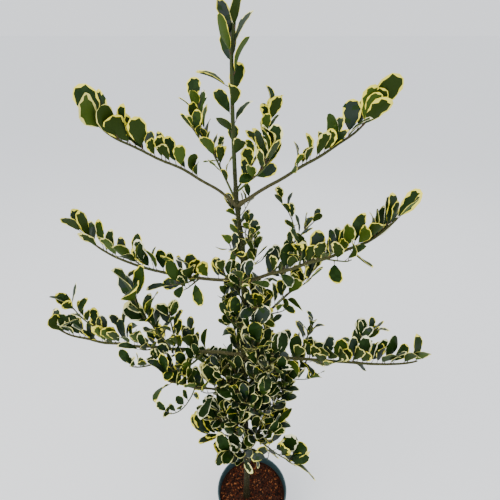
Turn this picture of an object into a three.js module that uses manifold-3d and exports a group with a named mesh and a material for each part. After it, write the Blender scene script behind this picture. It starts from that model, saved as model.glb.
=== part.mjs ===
// A young variegated holly in a round nursery pot, in millimetres, +Z up.
// The origin is the middle of the pot's flat underside.
//
// The trunk carries long bare-footed boughs. A mass of foliage grows on from the tip of each
// bough, and short leafy shoots grow straight from the trunk between them. Every mass follows
// one rule: a stem runs out along a gently wandering line, side shoots leave it, and leaves
// stand round each of them a golden angle apart, lifted towards the light. A mass keeps to
// its own space, the points that lie nearer to its own stems than to those of other masses.

import * as THREE from "three";
import { mergeVertices } from "three/addons/utils/BufferGeometryUtils.js";
import Module from "manifold-3d";

const wasm = await Module();
wasm.setup();

// Gap between pieces that meet.
const CLEAR = 0.3;

// Pot: radii of its outside, and heights above its underside.
const POT_FOOT_RADIUS = 95;
const POT_SKIRT_RADIUS = 121;
const POT_RIM_RADIUS = 127.5;
const POT_HEIGHT = 215;
const POT_SKIRT_HEIGHT = 182;
const POT_WALL = 2.4;
const POT_SIDES = 36;

// Compost: level round the trunk, a little lower at the pot's wall.
const SOIL = 190;
const SOIL_DIP = 5;
const SOIL_LEVEL_RADIUS = 70;

// Trunk: heights are above the soil. Its sideways lean is given at a few heights.
const TRUNK_BACK = -11;
const TRUNK_RADIUS = 10.5;
const TRUNK_THINNING = 0.0048;
const TRUNK_TOP = 1240;
const LEADER_TOP = 1500;
const FLARE = 3.5;
const FLARE_REACH = 18;
const TRUNK_LEAN = [
  [0, -20], [80, -20], [200, -17], [680, -26], [1035, -24], [1175, -37], [1435, -41], [1500, -35],
];
const FLARE_RINGS = [CLEAR, 6, 15, 30, 60];

// Stems: how many degrees they wander, over what length, how much steeper they end, how thin they
// end at least and as a share of their foot, the power that they thin out by, and how far past a
// bough's tip the first leaf stands.
const WANDER = 4;
const WAVE = 95;
const UPTURN = 34;
const TIP_RADIUS = 1;
const TIP_SHARE = 0.4;
const TAPER = 0.5;
const TIP_CLEAR = 10;
const GOLDEN = 137.5;

// Branches and side shoots: radius as a share of their carrier's, bare share or length, and the
// side shoots' lengths, place along the carrier and leaf gap.
const BRANCH_RADIUS = 0.62;
const BRANCH_BARE = 0.16;
const SHOOT_RADIUS = 0.6;
const SHOOT_BARE = 12;
const SHOOT_LENGTH = [45, 80];
const SHOOT_CLEAR = 8;
const SHOOT_LAST = 0.72;
const SHOOT_GAP = 22;
const SHOOT_BEND = 12;

// A direction on a stem is so much outwards, so much along it and so much up. In the shade low on
// the plant leaves are lifted less, turned further round and narrower, by the amounts given at the
// soil and by nothing from the shade's top.
const SHOOT_AIM = [0.75, 0.55, 0.3];
const LEAF_SPLAY = 0.6;
const LEAF_FORWARD = [0.125, 0.475];
const LEAF_TIP_FORWARD = 0.6;
const LEAF_LIFT = [0.315, 0.585];
const LEAF_LEVEL_LIFT = 1.4;
const DROOPING = 0.05;
const DROOPING_LIFT = -0.2;
const SHADE_SAG = 1.1;
const SHADE_TWIST = 35;
const SHADE_NARROWER = 0.25;
const SHADE_TOP = 700;
const FACE_AIM = [-0.8, 0.3, 0.35];
const FACE_LEVEL = -0.15;
const TWIST = 45;

// On a level stem the leaves draw together into two rows.
const ROW_FLATTEN = 0.75;
const ROW_SPREAD = 0.35;

// Leaves on a stem: play in facing, spacing and size, and how much closer they stand at its tip.
const FACING_PLAY = 30;
const GAP_PLAY = [0.75, 1.25];
const SIZE_PLAY = [0.82, 1.18];
const WIDTH_PLAY = [0.85, 1.15];
const CROWDING = 0.45;
const LEAF_TRIES = [[0, 1], [120, 0.9], [240, 0.75]];

// Room that a leaf keeps to the next mass's stems, and to the trunk and boughs.
const SPACE = 2;
const LIMB_SPACE = 1.2;

// Leaf: shares of its own length. Marks are the places on it that have to be in its own space.
const LEAF_LARGER = 1.06;
const LEAF_WIDTH = 0.64;
const LEAF_WIDEST = 0.58;
const LEAF_THICK = 0.035;
const LEAF_CURL = 0.06;
const LEAF_MARKS = [
  [0.2, 0], [0.4, 0], [0.6, 0], [0.8, 0], [1, 0],
  [0.35, 0.3], [LEAF_WIDEST, 0.5], [0.8, 0.25], [0.35, -0.3], [LEAF_WIDEST, -0.5], [0.8, -0.25],
];

// Facets.
const TRUNK_SIDES = 10;
const BOUGH_SIDES = 8;
const STEM_SIDES = 4;
const TWIG_SIDES = 3;
const TRUNK_PITCH = 62;
const STEM_PITCH = 40;
const SLIVER = 0.01;
const MERGE = 0.001;

// Long limbs, in the order: name, height above the soil, heading (0 is +X, 90 is +Y), turn along
// the limb, rise at foot and tip in degrees, length, foot radius, bare share, leaf gap, leaf
// length at foot and tip, side shoots, seed.
const LIMBS = [
  ["upper_left", 1160, -158, 4, 45, 18, 318, 3.4, 0.32, 20, 35, 58, 0, 514],
  ["upper_right", 1160, 17, 1, 25, 22, 358, 4.2, 0.34, 20, 36, 70, 0, 671],
  ["middle_left", 964, 171, -2, -7, 25, 446, 4.6, 0.12, 33, 48, 62, 1, 548],
  ["middle_right", 960, -9, -8, 19, 31, 386, 4.6, 0.13, 25, 48, 58, 2, 973],
  ["inner_right", 776, 19, -3, 47, 31, 306, 3.8, 0.12, 22, 48, 50, 3, 827],
  ["lower_left", 714, 176, 0, -1, -3, 535, 5.4, 0.14, 28, 48, 64, 2, 687],
  ["under_left", 558, -163, 9, 31, 37, 273, 3.8, 0.12, 23, 60, 56, 2, 501],
  ["lower_right", 704, -7, -6, 8, 0, 452, 4.8, 0.1, 27, 50, 57, 3, 580],
  ["under_right", 490, 20, 0, 31, 31, 260, 3.6, 0.12, 31, 57, 50, 3, 24],
];

// Branches of those limbs: limb, which of its stems carries it (0 is the limb), place along that
// stem, heading, turn, rise at foot and tip, length, leaf gap, leaf length at foot and tip.
const BRANCHES = [
  ["middle_right", 0, 0.25, 60, -50, 71, 20, 145, 25, 38, 34],
  ["middle_right", 1, 0.62, 125, 11, 65, 22, 106, 27, 32, 32],
  ["middle_left", 0, 0.25, -167, 20, -38, -20, 48, 23, 36, 38],
  ["lower_left", 0, 0.7, -173, 27, 58, 60, 191, 27, 44, 50],
  ["lower_left", 0, 0.39, -146, 28, 74, 62, 242, 25, 54, 70],
  ["lower_left", 0, 0.34, -95, 6, 74, 70, 168, 28, 50, 38],
  ["lower_left", 0, 0.3, -145, 2, -6, 15, 164, 25, 38, 40],
  ["lower_left", 0, 0.21, -128, -10, -30, 50, 132, 27, 38, 36],
  ["under_left", 0, 0.62, -115, -38, -55, 48, 123, 27, 34, 30],
  ["lower_right", 0, 0.65, 65, -53, 72, 10, 114, 23, 38, 36],
  ["lower_right", 0, 0.33, 42, -5, 57, 53, 113, 27, 33, 36],
];

// Shoots that grow straight from the trunk, in the same order as the long limbs.
const SHOOTS = [
  ["upper_back", 1166, 131, 6, 52, 47, 237, 2.6, 0.2, 24, 34, 48, 1, 201],
  ["upper_front", 1190, -34, -14, 38, 48, 146, 2.4, 0.25, 20, 34, 56, 0, 444],
  ["upper_side", 1194, 40, 17, 42, 53, 188, 2.4, 0.25, 23, 34, 46, 0, 402],
  ["low_left", 372, -165, -10, 4, -20, 116, 2.6, 0.3, 14, 80, 80, 0, 580],
  ["low_right", 362, -38, -8, 10, 4, 175, 2.8, 0.25, 20, 72, 88, 1, 91],
];

// The leafy column round the trunk is two runs of shoots that climb it a golden angle apart.
// Their length changes towards the front, back and right by the amounts given, and they are
// shorter at the top by the taper.
const COLUMN_LOW = {
  name: "column", count: 14, low: 282, high: 645, heading: 117, length: 150, front: -59, back: 55,
  right: 30, taper: 0, rise: [20, 43], radius: 2.7, bare: 0.18, gap: 18, leaf: [64, 50], side: 2,
};
const COLUMN_HIGH = {
  name: "spray", count: 10, low: 725, high: 1098, heading: 292, length: 78, front: 70, back: 76,
  right: 11, taper: 0.62, rise: [39, 50], radius: 2.4, bare: 0.2, gap: 23, leaf: [52, 30], side: 1,
};

// Bends of a column's shoots in degrees, and the size of their tip leaves to their first ones.
const COLUMN_TURN = 12;
const COLUMN_BEND = 14;
const COLUMN_TIP_LEAF = 0.86;

// The leader's leaves.
const LEADER = { from: 26, gap: 26, leaf: 37, tipLeaf: 56 };

// Seeds of the numbers that the leader and each column draw, counted up by one for each shoot.
const SEEDS = { column: 896, spray: 541, leader: 116 };

const COLOURS = { pot: 0x3b5356, compost: 0x40220f, bark: 0x6b6a45, foliage: 0x3f5f38 };

// ---------------------------------------------------------------- numbers and directions

// One stream of numbers between 0 and 1 for each seed.
function seeded(seed) {
  let state = seed >>> 0;
  return () => {
    state = (state + 0x6d2b79f5) >>> 0;
    let mixed = Math.imul(state ^ (state >>> 15), state | 1);
    mixed = (mixed + Math.imul(mixed ^ (mixed >>> 7), mixed | 61)) ^ mixed;
    return ((mixed ^ (mixed >>> 14)) >>> 0) / 4294967296;
  };
}

const radians = THREE.MathUtils.degToRad;
const degrees = THREE.MathUtils.radToDeg;
const mix = THREE.MathUtils.lerp;
const UP = new THREE.Vector3(0, 0, 1);

// Places from one end of a stretch to the other, as near to a pitch apart as they go evenly.
function evenly(from, to, pitch) {
  const count = Math.max(1, Math.round((to - from) / pitch));
  return Array.from({ length: count + 1 }, (_, i) => mix(from, to, i / count));
}

function pointing(heading, rise) {
  const flat = Math.cos(radians(rise));
  return new THREE.Vector3(
    flat * Math.cos(radians(heading)), flat * Math.sin(radians(heading)), Math.sin(radians(rise)));
}

// Two directions square to a stem, the first as near to straight up as it can be.
function around(along) {
  const guide = Math.abs(along.z) > 0.95 ? new THREE.Vector3(1, 0, 0) : UP;
  const first = guide.clone().addScaledVector(along, -guide.dot(along)).normalize();
  return [first, along.clone().cross(first)];
}

// The direction that a leaf or side shoot takes at an angle round a stem. On a stem that lies
// level they stand in two rows, one at each side of it.
function outward(along, angle) {
  const [first, second] = around(along);
  const level = 1 - Math.abs(along.z);
  const beside = Math.sin(angle);
  return first.multiplyScalar(Math.cos(angle) * (1 - ROW_FLATTEN * level))
    .addScaledVector(second, beside + ROW_SPREAD * level * Math.sign(beside)).normalize();
}

// ---------------------------------------------------------------- lines

// A line is a row of points with a radius at each.
function makeLine(points, footRadius, tipRadius) {
  const arc = [0];
  for (let i = 1; i < points.length; i += 1) arc.push(arc[i - 1] + points[i].distanceTo(points[i - 1]));
  const length = arc[arc.length - 1];
  const radii = arc.map((s) => mix(tipRadius, footRadius, (1 - s / length) ** TAPER));
  return { points, arc, length, radii };
}

function placeOn(line, s) {
  let i = 1;
  while (i < line.arc.length - 1 && line.arc[i] < s) i += 1;
  const part = (s - line.arc[i - 1]) / (line.arc[i] - line.arc[i - 1]);
  return {
    point: line.points[i - 1].clone().lerp(line.points[i], part),
    along: line.points[i].clone().sub(line.points[i - 1]).normalize(),
    radius: mix(line.radii[i - 1], line.radii[i], part),
  };
}

// The stretch of a line between two places, as a line of its own.
function stretch(line, from, to) {
  const first = placeOn(line, from);
  const last = placeOn(line, to);
  const points = [first.point];
  const radii = [first.radius];
  line.arc.forEach((s, i) => {
    if (s > from + 1 && s < to - 1) {
      points.push(line.points[i]);
      radii.push(line.radii[i]);
    }
  });
  points.push(last.point);
  radii.push(last.radius);
  return { ...makeLine(points, 1, 1), radii };
}

// A stem that starts at a point and bends evenly from one heading and rise to another.
function stemLine(foot, heading, turn, rise, tipRise, length, radius, draw) {
  const steps = Math.max(2, Math.round(length / STEM_PITCH));
  const phases = [draw() * 2 * Math.PI, draw() * 2 * Math.PI];
  const points = [foot.clone()];
  for (let i = 0; i < steps; i += 1) {
    const share = (i + 0.5) / steps;
    const sway = (2 * Math.PI * share * length) / WAVE;
    const direction = pointing(
      heading + turn * share + WANDER * (Math.sin(sway + phases[0]) - Math.sin(phases[0]) / 2),
      mix(rise, tipRise, share) + UPTURN * share ** 6
        + WANDER * (Math.sin(sway + phases[1]) - Math.sin(phases[1]) / 2));
    points.push(points[i].clone().addScaledVector(direction, length / steps));
  }
  return makeLine(points, radius, Math.max(TIP_RADIUS, TIP_SHARE * radius));
}

// The trunk's middle at a height above the soil, on a smooth curve through its lean.
function trunkMiddle(height) {
  const last = TRUNK_LEAN.length - 2;
  const i = Math.min(last, Math.max(0, TRUNK_LEAN.findIndex(([h]) => h > height) - 1));
  const slope = (k) => {
    const [low, high] = [TRUNK_LEAN[Math.max(0, k - 1)], TRUNK_LEAN[Math.min(last + 1, k + 1)]];
    return (high[1] - low[1]) / (high[0] - low[0]);
  };
  const [[h0, x0], [h1, x1]] = [TRUNK_LEAN[i], TRUNK_LEAN[i + 1]];
  const span = h1 - h0;
  const u = Math.min(1, (height - h0) / span);
  const x = x0 * (1 + 2 * u) * (1 - u) ** 2 + x1 * u * u * (3 - 2 * u)
    + slope(i) * span * u * (1 - u) ** 2 - slope(i + 1) * span * u * u * (1 - u);
  return new THREE.Vector3(x, TRUNK_BACK, SOIL + height);
}

function trunkRadius(height) {
  return TRUNK_RADIUS - TRUNK_THINNING * height + FLARE * Math.exp(-height / FLARE_REACH);
}

function trunkLine(heights) {
  return { ...makeLine(heights.map(trunkMiddle), 1, 1), radii: heights.map(trunkRadius) };
}

// ---------------------------------------------------------------- solids

function solidOf(geometry) {
  geometry.deleteAttribute("normal");
  geometry.deleteAttribute("uv");
  const merged = mergeVertices(geometry, 1e-4);
  return new wasm.Manifold(new wasm.Mesh({
    numProp: 3,
    vertProperties: new Float32Array(merged.attributes.position.array),
    triVerts: new Uint32Array(merged.index.array),
  }));
}

function geometryOf(solid) {
  const { vertProperties, triVerts } = solid.getMesh();
  const geometry = new THREE.BufferGeometry();
  geometry.setAttribute("position", new THREE.BufferAttribute(new Float32Array(vertProperties), 3));
  geometry.setIndex(new THREE.BufferAttribute(new Uint32Array(triVerts), 1));
  return geometry;
}

// The largest of the pieces that joining leaves: a sealed hollow or a loose scrap is dropped.
function largest(solid) {
  const pieces = solid.decompose();
  return pieces.reduce((best, piece) => (piece.volume() > best.volume() ? piece : best));
}

// Whether every edge belongs to just two faces, also once corners that all but touch are merged.
function closed(solid) {
  const { array } = mergeVertices(geometryOf(solid), MERGE).index;
  const uses = new Map();
  for (let i = 0; i < array.length; i += 3) {
    const [a, b, c] = array.slice(i, i + 3);
    if (a === b || b === c || c === a) continue;
    for (const edge of [[a, b], [b, c], [c, a]]) {
      const key = edge.sort((one, other) => one - other).join();
      uses.set(key, (uses.get(key) ?? 0) + 1);
    }
  }
  return [...uses.values()].every((count) => count === 2);
}

// A tapering limb: a cylinder whose rings are carried to the points of a line.
function limbSolid({ points, radii }, sides, swell = 0) {
  const count = points.length - 1;
  const shape = new THREE.CylinderGeometry(1, 1, 1, sides, count);
  let across = around(points[1].clone().sub(points[0]).normalize())[0];
  const rings = points.map((point, i) => {
    const along = points[Math.min(count, i + 1)].clone().sub(points[Math.max(0, i - 1)]).normalize();
    across = across.clone().addScaledVector(along, -across.dot(along)).normalize();
    return { point, across, beside: along.clone().cross(across), radius: radii[i] + swell };
  });
  const place = shape.attributes.position;
  for (let i = 0; i < place.count; i += 1) {
    const ring = rings[Math.round((0.5 - place.getY(i)) * count)];
    const corner = ring.point.clone()
      .addScaledVector(ring.across, place.getX(i) * ring.radius)
      .addScaledVector(ring.beside, place.getZ(i) * ring.radius);
    place.setXYZ(i, corner.x, corner.y, corner.z);
  }
  return solidOf(shape);
}

// A place on a leaf: how far along it, how far to its side and how high over its foot, as shares
// of its length and width.
function onLeaf({ foot, axis, face, length, width }, reach, across, height = 0) {
  return foot.clone()
    .addScaledVector(axis, reach * length)
    .addScaledVector(axis.clone().cross(face), across * width)
    .addScaledVector(face, height * length);
}

// How high a leaf's blade arches over its foot, that share of the way along it.
function arch(reach) {
  return LEAF_CURL * Math.sin(Math.PI * reach);
}

// A leaf: foot, tip, two widest corners, and the midrib under the fold between them.
function leafSolid(leaf) {
  const widest = arch(LEAF_WIDEST);
  const corners = [
    onLeaf(leaf, 0, 0), onLeaf(leaf, LEAF_WIDEST, -0.5, widest), onLeaf(leaf, LEAF_WIDEST, 0.5, widest),
    onLeaf(leaf, 1, 0), onLeaf(leaf, LEAF_WIDEST, 0, LEAF_CURL - LEAF_THICK),
  ];
  const faces = [[0, 2, 1], [1, 2, 3], [0, 1, 4], [2, 0, 4], [3, 4, 1], [2, 4, 3]];
  const geometry = new THREE.BufferGeometry().setFromPoints(corners);
  return solidOf(geometry.setIndex(faces.flat()));
}

// ---------------------------------------------------------------- growth

// A direction of so much outwards from a stem, so much along it and so much up.
function aim(out, along, [outwards, forwards, upwards]) {
  return out.clone().multiplyScalar(outwards).addScaledVector(along, forwards)
    .addScaledVector(UP, upwards).normalize();
}

// A leaf at a place on a stem. It leaves the stem sideways and forwards and is lifted towards the
// light, or hangs, with its upper face turned in and up.
function leafOn(line, s, angle, length, habit) {
  const { point, along } = placeOn(line, s);
  const out = outward(along, angle);
  const level = 1 - Math.abs(along.z);
  const shade = Math.max(0, 1 - (point.z - SOIL) / SHADE_TOP);
  const lifted = mix(...LEAF_LIFT, habit[0]) + LEAF_LEVEL_LIFT * level - SHADE_SAG * shade;
  const lift = habit[0] < DROOPING ? DROOPING_LIFT : lifted;
  const forward = mix(...LEAF_FORWARD, habit[1]) + LEAF_TIP_FORWARD * (s / line.length) ** 4;
  const axis = aim(out, along, [LEAF_SPLAY, forward, lift]);
  const face = aim(out, along, [FACE_AIM[0], FACE_AIM[1] + FACE_LEVEL * level, FACE_AIM[2]]);
  face.addScaledVector(axis, -face.dot(axis)).normalize();
  face.applyAxisAngle(axis, radians(TWIST + SHADE_TWIST * shade) * (2 * habit[2] - 1));
  const size = LEAF_LARGER * length * mix(...SIZE_PLAY, habit[3]);
  const width = size * LEAF_WIDTH * (1 - SHADE_NARROWER * shade) * mix(...WIDTH_PLAY, habit[1]);
  return { foot: point, axis, face, length: size, width };
}

// Leaves along a stem, closer together and reaching further forward towards its tip. A leaf that
// would leave its mass's space, touch a limb or pass through a leaf before it is tried again as a
// smaller leaf a third of a turn on, and left out if it has no room there either.
function leavesOn({ line, from, gap, leaf, tipLeaf }, leaves, plant) {
  const { draw } = plant;
  let angle = 360 * draw();
  let s = from;
  while (s < line.length - 1.5) {
    const share = s / line.length;
    const facing = angle + FACING_PLAY * (draw() - 0.5);
    const habit = [draw(), draw(), draw(), draw()];
    for (const [turn, smaller] of LEAF_TRIES) {
      const length = smaller * mix(leaf, tipLeaf, share);
      const next = leafOn(line, s, radians(facing + turn), length, habit);
      const free = !leaves.some((other) => crosses(next, other)) && !piercedBy(next, plant.wood);
      if (free && inSpace(leafMarks(next), plant)) {
        leaves.push(next);
        break;
      }
    }
    angle += GOLDEN;
    s += gap * (1 - CROWDING * share) * mix(...GAP_PLAY, draw());
  }
}

// The corners of a leaf's flat outline, from near its foot round to its other side.
function leafCorners(leaf) {
  const [left, right] = [onLeaf(leaf, LEAF_WIDEST, 0.5), onLeaf(leaf, LEAF_WIDEST, -0.5)];
  return [onLeaf(leaf, 0.1, 0), left, onLeaf(leaf, 1, 0), right];
}

function crosses(one, other) {
  if (one.foot.distanceTo(other.foot) > one.length + other.length) return false;
  const [a, b] = [leafCorners(one), leafCorners(other)];
  return edgesCut(a, b) || edgesCut(b, a);
}

// Whether a stem of its own mass passes through a leaf.
function piercedBy(leaf, stems) {
  const corners = leafCorners(leaf);
  return stems.some(({ points }) => points.some((end, i) => (
    i > 0 && end.distanceTo(leaf.foot) < 2 * leaf.length && cuts(points[i - 1], end, corners))));
}

// Whether an edge of one four-cornered outline passes through another.
function edgesCut(edges, outline) {
  return edges.some((start, i) => cuts(start, edges[(i + 1) % 4], outline));
}

function cuts(start, end, [foot, left, tip, right]) {
  const run = end.clone().sub(start);
  const reach = run.length();
  const ray = new THREE.Ray(start, run.divideScalar(reach));
  const hit = new THREE.Vector3();
  return [[foot, left, tip], [foot, tip, right]].some((corners) => (
    ray.intersectTriangle(...corners, false, hit) && hit.distanceTo(start) < reach));
}

// Short side shoots on a stem, spaced along it from near its foot.
function sideShoots(line, from, count, draw) {
  const shoots = [];
  let angle = 360 * draw();
  for (let i = 0; i < count; i += 1) {
    const s = mix(from + SHOOT_CLEAR, line.length * SHOOT_LAST, (i + 0.6 * draw()) / count);
    const { point, along, radius } = placeOn(line, s);
    const axis = aim(outward(along, radians(angle)), along, SHOOT_AIM);
    const heading = degrees(Math.atan2(axis.y, axis.x));
    const rise = degrees(Math.asin(axis.z));
    const length = mix(...SHOOT_LENGTH, draw());
    shoots.push(stemLine(
      point, heading, 0, rise, rise + SHOOT_BEND, length, radius * SHOOT_RADIUS, draw));
    angle += GOLDEN;
  }
  return shoots;
}

// A limb or shoot from its row: the whole stem, and the stems of its branches.
function rootedStems(row) {
  const [name, height, heading, turn, rise, tipRise, length, radius, ...habit] = row;
  const [bare, gap, leaf, tipLeaf, side, seed] = habit;
  const draw = seeded(seed);
  const main = stemLine(trunkMiddle(height), heading, turn, rise, tipRise, length, radius, draw);
  const stems = [{ line: main, from: bare * length, gap, leaf, tipLeaf }];
  for (const [host, carrier, place, ...shape] of BRANCHES) {
    if (host === name) {
      const [branchHeading, branchTurn, branchRise, branchTipRise, reach, branchGap, large, small] = shape;
      const { point, radius: thick } = placeOn(stems[carrier].line, place * stems[carrier].line.length);
      const line = stemLine(
        point, branchHeading, branchTurn, branchRise, branchTipRise, reach, thick * BRANCH_RADIUS, draw);
      stems.push({ line, from: BRANCH_BARE * reach, gap: branchGap, leaf: large, tipLeaf: small });
    }
  }
  return { name, bare: bare * length, stems, side, draw };
}

// The shoots of one leafy column, as rows like those of the long limbs.
function columnRows(column, seed) {
  const { name, count, low, high, heading, length, front, back, right, taper, rise, leaf, side } = column;
  return Array.from({ length: count }, (_, i) => {
    const share = i / (count - 1);
    const facing = heading + GOLDEN * i;
    const aside = Math.cos(radians(facing));
    const behind = Math.sin(radians(facing));
    const more = Math.abs(behind) * (behind > 0 ? back : front) + right * aside;
    const long = (length + more) * (1 - taper * share);
    const lift = mix(rise[0], rise[1], share);
    const large = mix(leaf[0], leaf[1], share);
    return [
      `${name}_${i + 1}`, mix(low, high, share), facing, COLUMN_TURN, lift, lift + COLUMN_BEND, long,
      column.radius, column.bare, column.gap, large, large * COLUMN_TIP_LEAF, side, seed + i,
    ];
  });
}

// The leader carries the trunk on from its top, straight into its leaves.
function leader() {
  const line = trunkLine(evenly(TRUNK_TOP + CLEAR, LEADER_TOP, STEM_PITCH));
  return { name: "leader", side: 0, draw: seeded(SEEDS.leader), stems: [{ line, ...LEADER }] };
}

// Distance from a point to the bark of the nearest of some limbs.
function gapTo(point, limbs) {
  let nearest = Infinity;
  const line3 = new THREE.Line3();
  const close = new THREE.Vector3();
  for (const { points, radii } of limbs) {
    for (let i = 1; i < points.length; i += 1) {
      line3.set(points[i - 1], points[i]).closestPointToPoint(point, true, close);
      nearest = Math.min(nearest, close.distanceTo(point) - radii[i]);
    }
  }
  return nearest;
}

function leafMarks(leaf) {
  return LEAF_MARKS.map(([reach, across]) => onLeaf(leaf, reach, across, arch(reach)));
}

// ---------------------------------------------------------------- the plant

const plants = [
  ...LIMBS.map((row) => ({ ...rootedStems(row), bough: true })),
  ...SHOOTS.map(rootedStems),
  ...columnRows(COLUMN_LOW, SEEDS.column).map(rootedStems),
  ...columnRows(COLUMN_HIGH, SEEDS.spray).map(rootedStems),
  leader(),
];
for (const plant of plants) {
  const [main] = plant.stems;
  if (plant.bough) {
    plant.boughLine = stretch(main.line, 0, plant.bare);
    main.line = stretch(main.line, plant.bare + CLEAR, main.line.length);
    main.from = TIP_CLEAR;
  }
  plant.reach = plant.stems.map(({ line }) => line);
}

const trunk = trunkLine([...FLARE_RINGS, ...evenly(FLARE_RINGS.at(-1), TRUNK_TOP, TRUNK_PITCH).slice(1)]);
const limbs = [trunk, ...plants.filter(({ bough }) => bough).map(({ boughLine }) => boughLine)];

// Whether all of some points are in a mass's own space and clear of the trunk and boughs.
function inSpace(points, plant) {
  const others = plants.filter((other) => other !== plant).flatMap(({ reach }) => reach);
  return points.every((point) => {
    if (gapTo(point, limbs) < LIMB_SPACE) return false;
    return gapTo(point, others) > gapTo(point, plant.reach) + SPACE;
  });
}

// A mass: its stems and the side shoots that keep to its space, with their leaves fused on. A leaf
// that meets the rest along a bare edge is left out.
function massSolid(plant, trunkCutter) {
  const shoots = plant.stems.flatMap(({ line, from }) => (
    sideShoots(line, from, line === plant.stems[0].line ? plant.side : 0, plant.draw)));
  const kept = shoots.filter(({ points }) => inSpace(points.slice(1), plant));
  plant.wood = [...plant.reach, ...kept];
  const size = plant.stems[0].leaf;
  const leaves = [];
  const sideStems = kept.map((line) => (
    { line, from: SHOOT_BARE, gap: SHOOT_GAP, leaf: size, tipLeaf: size }));
  [...plant.stems, ...sideStems].forEach((stem) => leavesOn(stem, leaves, plant));
  const wood = [
    limbSolid(plant.stems[0].line, plant.bough ? STEM_SIDES : TWIG_SIDES),
    ...plant.stems.slice(1).map(({ line }) => limbSolid(line, TWIG_SIDES)),
    ...kept.map((line) => limbSolid(line, TWIG_SIDES)),
  ];
  const join = (blades) => largest(
    wasm.Manifold.union([...wood, ...blades.map(leafSolid)]).subtract(trunkCutter).simplify(SLIVER));
  const solid = join(leaves);
  if (closed(solid)) return solid;
  const odd = leaves.findIndex((_, i) => closed(join(leaves.toSpliced(i, 1))));
  return join(leaves.toSpliced(odd, 1));
}

function potSolid() {
  const rim = POT_RIM_RADIUS;
  const lip = POT_HEIGHT;
  const outline = [
    [0, 0], [POT_FOOT_RADIUS - 3, 0], [POT_FOOT_RADIUS, 3], [POT_SKIRT_RADIUS, POT_SKIRT_HEIGHT],
    [rim - 2.5, POT_SKIRT_HEIGHT + 2], [rim - 1.5, lip - 6], [rim, lip - 4.5], [rim, lip - 1.5],
    [rim - 1.5, lip], [rim - 4, lip], [rim - 5.2, lip - 2],
    [POT_SKIRT_RADIUS - POT_WALL + 1, POT_SKIRT_HEIGHT], [POT_FOOT_RADIUS - POT_WALL, 5.5], [0, 5.5],
  ].map(([radius, height]) => new THREE.Vector2(radius, height));
  return solidOf(new THREE.LatheGeometry(outline, POT_SIDES).rotateX(Math.PI / 2));
}

// Radius of the compost at a height, clear of the pot's wall.
function compostRadius(height) {
  const wall = mix(POT_FOOT_RADIUS - POT_WALL, POT_SKIRT_RADIUS - POT_WALL + 1,
    (height - 5.5) / (POT_SKIRT_HEIGHT - 5.5));
  return wall - 2 * CLEAR;
}

function compostSolid() {
  const floor = 5.5 + CLEAR;
  const edge = SOIL - SOIL_DIP;
  const outline = [
    [0, floor], [compostRadius(floor), floor], [compostRadius(POT_SKIRT_HEIGHT), POT_SKIRT_HEIGHT],
    [compostRadius(POT_SKIRT_HEIGHT), edge], [SOIL_LEVEL_RADIUS, SOIL], [0, SOIL],
  ].map(([radius, height]) => new THREE.Vector2(radius, height));
  return solidOf(new THREE.LatheGeometry(outline, POT_SIDES).rotateX(Math.PI / 2));
}

const tree = new THREE.Group();

function addPart(name, solid, finish, roughness) {
  const material = new THREE.MeshStandardMaterial({ color: COLOURS[finish], roughness, metalness: 0 });
  const mesh = new THREE.Mesh(geometryOf(solid), material);
  mesh.name = name;
  tree.add(mesh);
}

addPart("pot", potSolid(), "pot", 0.45);
addPart("compost", compostSolid(), "compost", 0.95);
addPart("trunk", limbSolid(trunk, TRUNK_SIDES), "bark", 0.8);
const trunkCutter = limbSolid(trunk, TRUNK_SIDES, CLEAR);
for (const plant of plants) {
  if (plant.bough) {
    const bough = limbSolid(plant.boughLine, BOUGH_SIDES).subtract(trunkCutter);
    addPart(`bough_${plant.name}`, largest(bough), "bark", 0.8);
  }
  addPart(`foliage_${plant.name}`, massSolid(plant, trunkCutter), "foliage", 0.4);
}

export default tree;
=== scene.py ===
"""A young variegated holly in a round nursery pot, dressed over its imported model.

The trunk and boughs get bark with relief. Every mass of foliage grows on from them by one seeded
rule: a stem runs out along a gently wandering line, side shoots leave it, and leaves stand round
each of them a golden angle apart, lifted towards the light.
"""

import functools
import math
import typing

import bpy
import numpy as np
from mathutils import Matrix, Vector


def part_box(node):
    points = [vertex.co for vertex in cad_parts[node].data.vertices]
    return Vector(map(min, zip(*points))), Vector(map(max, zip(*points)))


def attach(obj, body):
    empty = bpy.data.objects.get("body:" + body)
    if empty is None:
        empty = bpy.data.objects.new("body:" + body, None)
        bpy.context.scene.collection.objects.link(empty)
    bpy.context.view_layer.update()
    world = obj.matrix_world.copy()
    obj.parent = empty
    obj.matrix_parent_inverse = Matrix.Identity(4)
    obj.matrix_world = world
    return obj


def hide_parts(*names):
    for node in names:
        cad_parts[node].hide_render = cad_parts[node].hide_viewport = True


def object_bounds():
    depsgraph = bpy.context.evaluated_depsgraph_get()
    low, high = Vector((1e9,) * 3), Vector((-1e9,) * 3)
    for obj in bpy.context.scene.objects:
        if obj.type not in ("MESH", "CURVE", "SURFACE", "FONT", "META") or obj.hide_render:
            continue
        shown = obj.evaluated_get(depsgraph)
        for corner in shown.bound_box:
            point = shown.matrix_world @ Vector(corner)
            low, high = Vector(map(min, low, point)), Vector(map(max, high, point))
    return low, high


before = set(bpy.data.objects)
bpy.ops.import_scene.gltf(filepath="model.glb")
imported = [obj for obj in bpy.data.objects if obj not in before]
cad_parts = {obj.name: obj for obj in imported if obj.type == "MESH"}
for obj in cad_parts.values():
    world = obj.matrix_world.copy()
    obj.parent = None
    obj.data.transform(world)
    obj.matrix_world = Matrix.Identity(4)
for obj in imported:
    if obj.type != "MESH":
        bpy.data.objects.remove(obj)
CAD_BOX = [list(corner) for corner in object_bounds()]

bl_info = {
    "name": "Potted variegated holly",
    "version": (1, 0, 0),
    "blender": (4, 5, 0),
    "location": "View3D > Sidebar > Holly",
    "description": "Grows a young variegated holly in a nursery pot",
    "category": "Add Mesh",
}

# ---- sizes

# Blender works in metres. The plant's own sizes are in millimetres.
MM = 0.001

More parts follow.
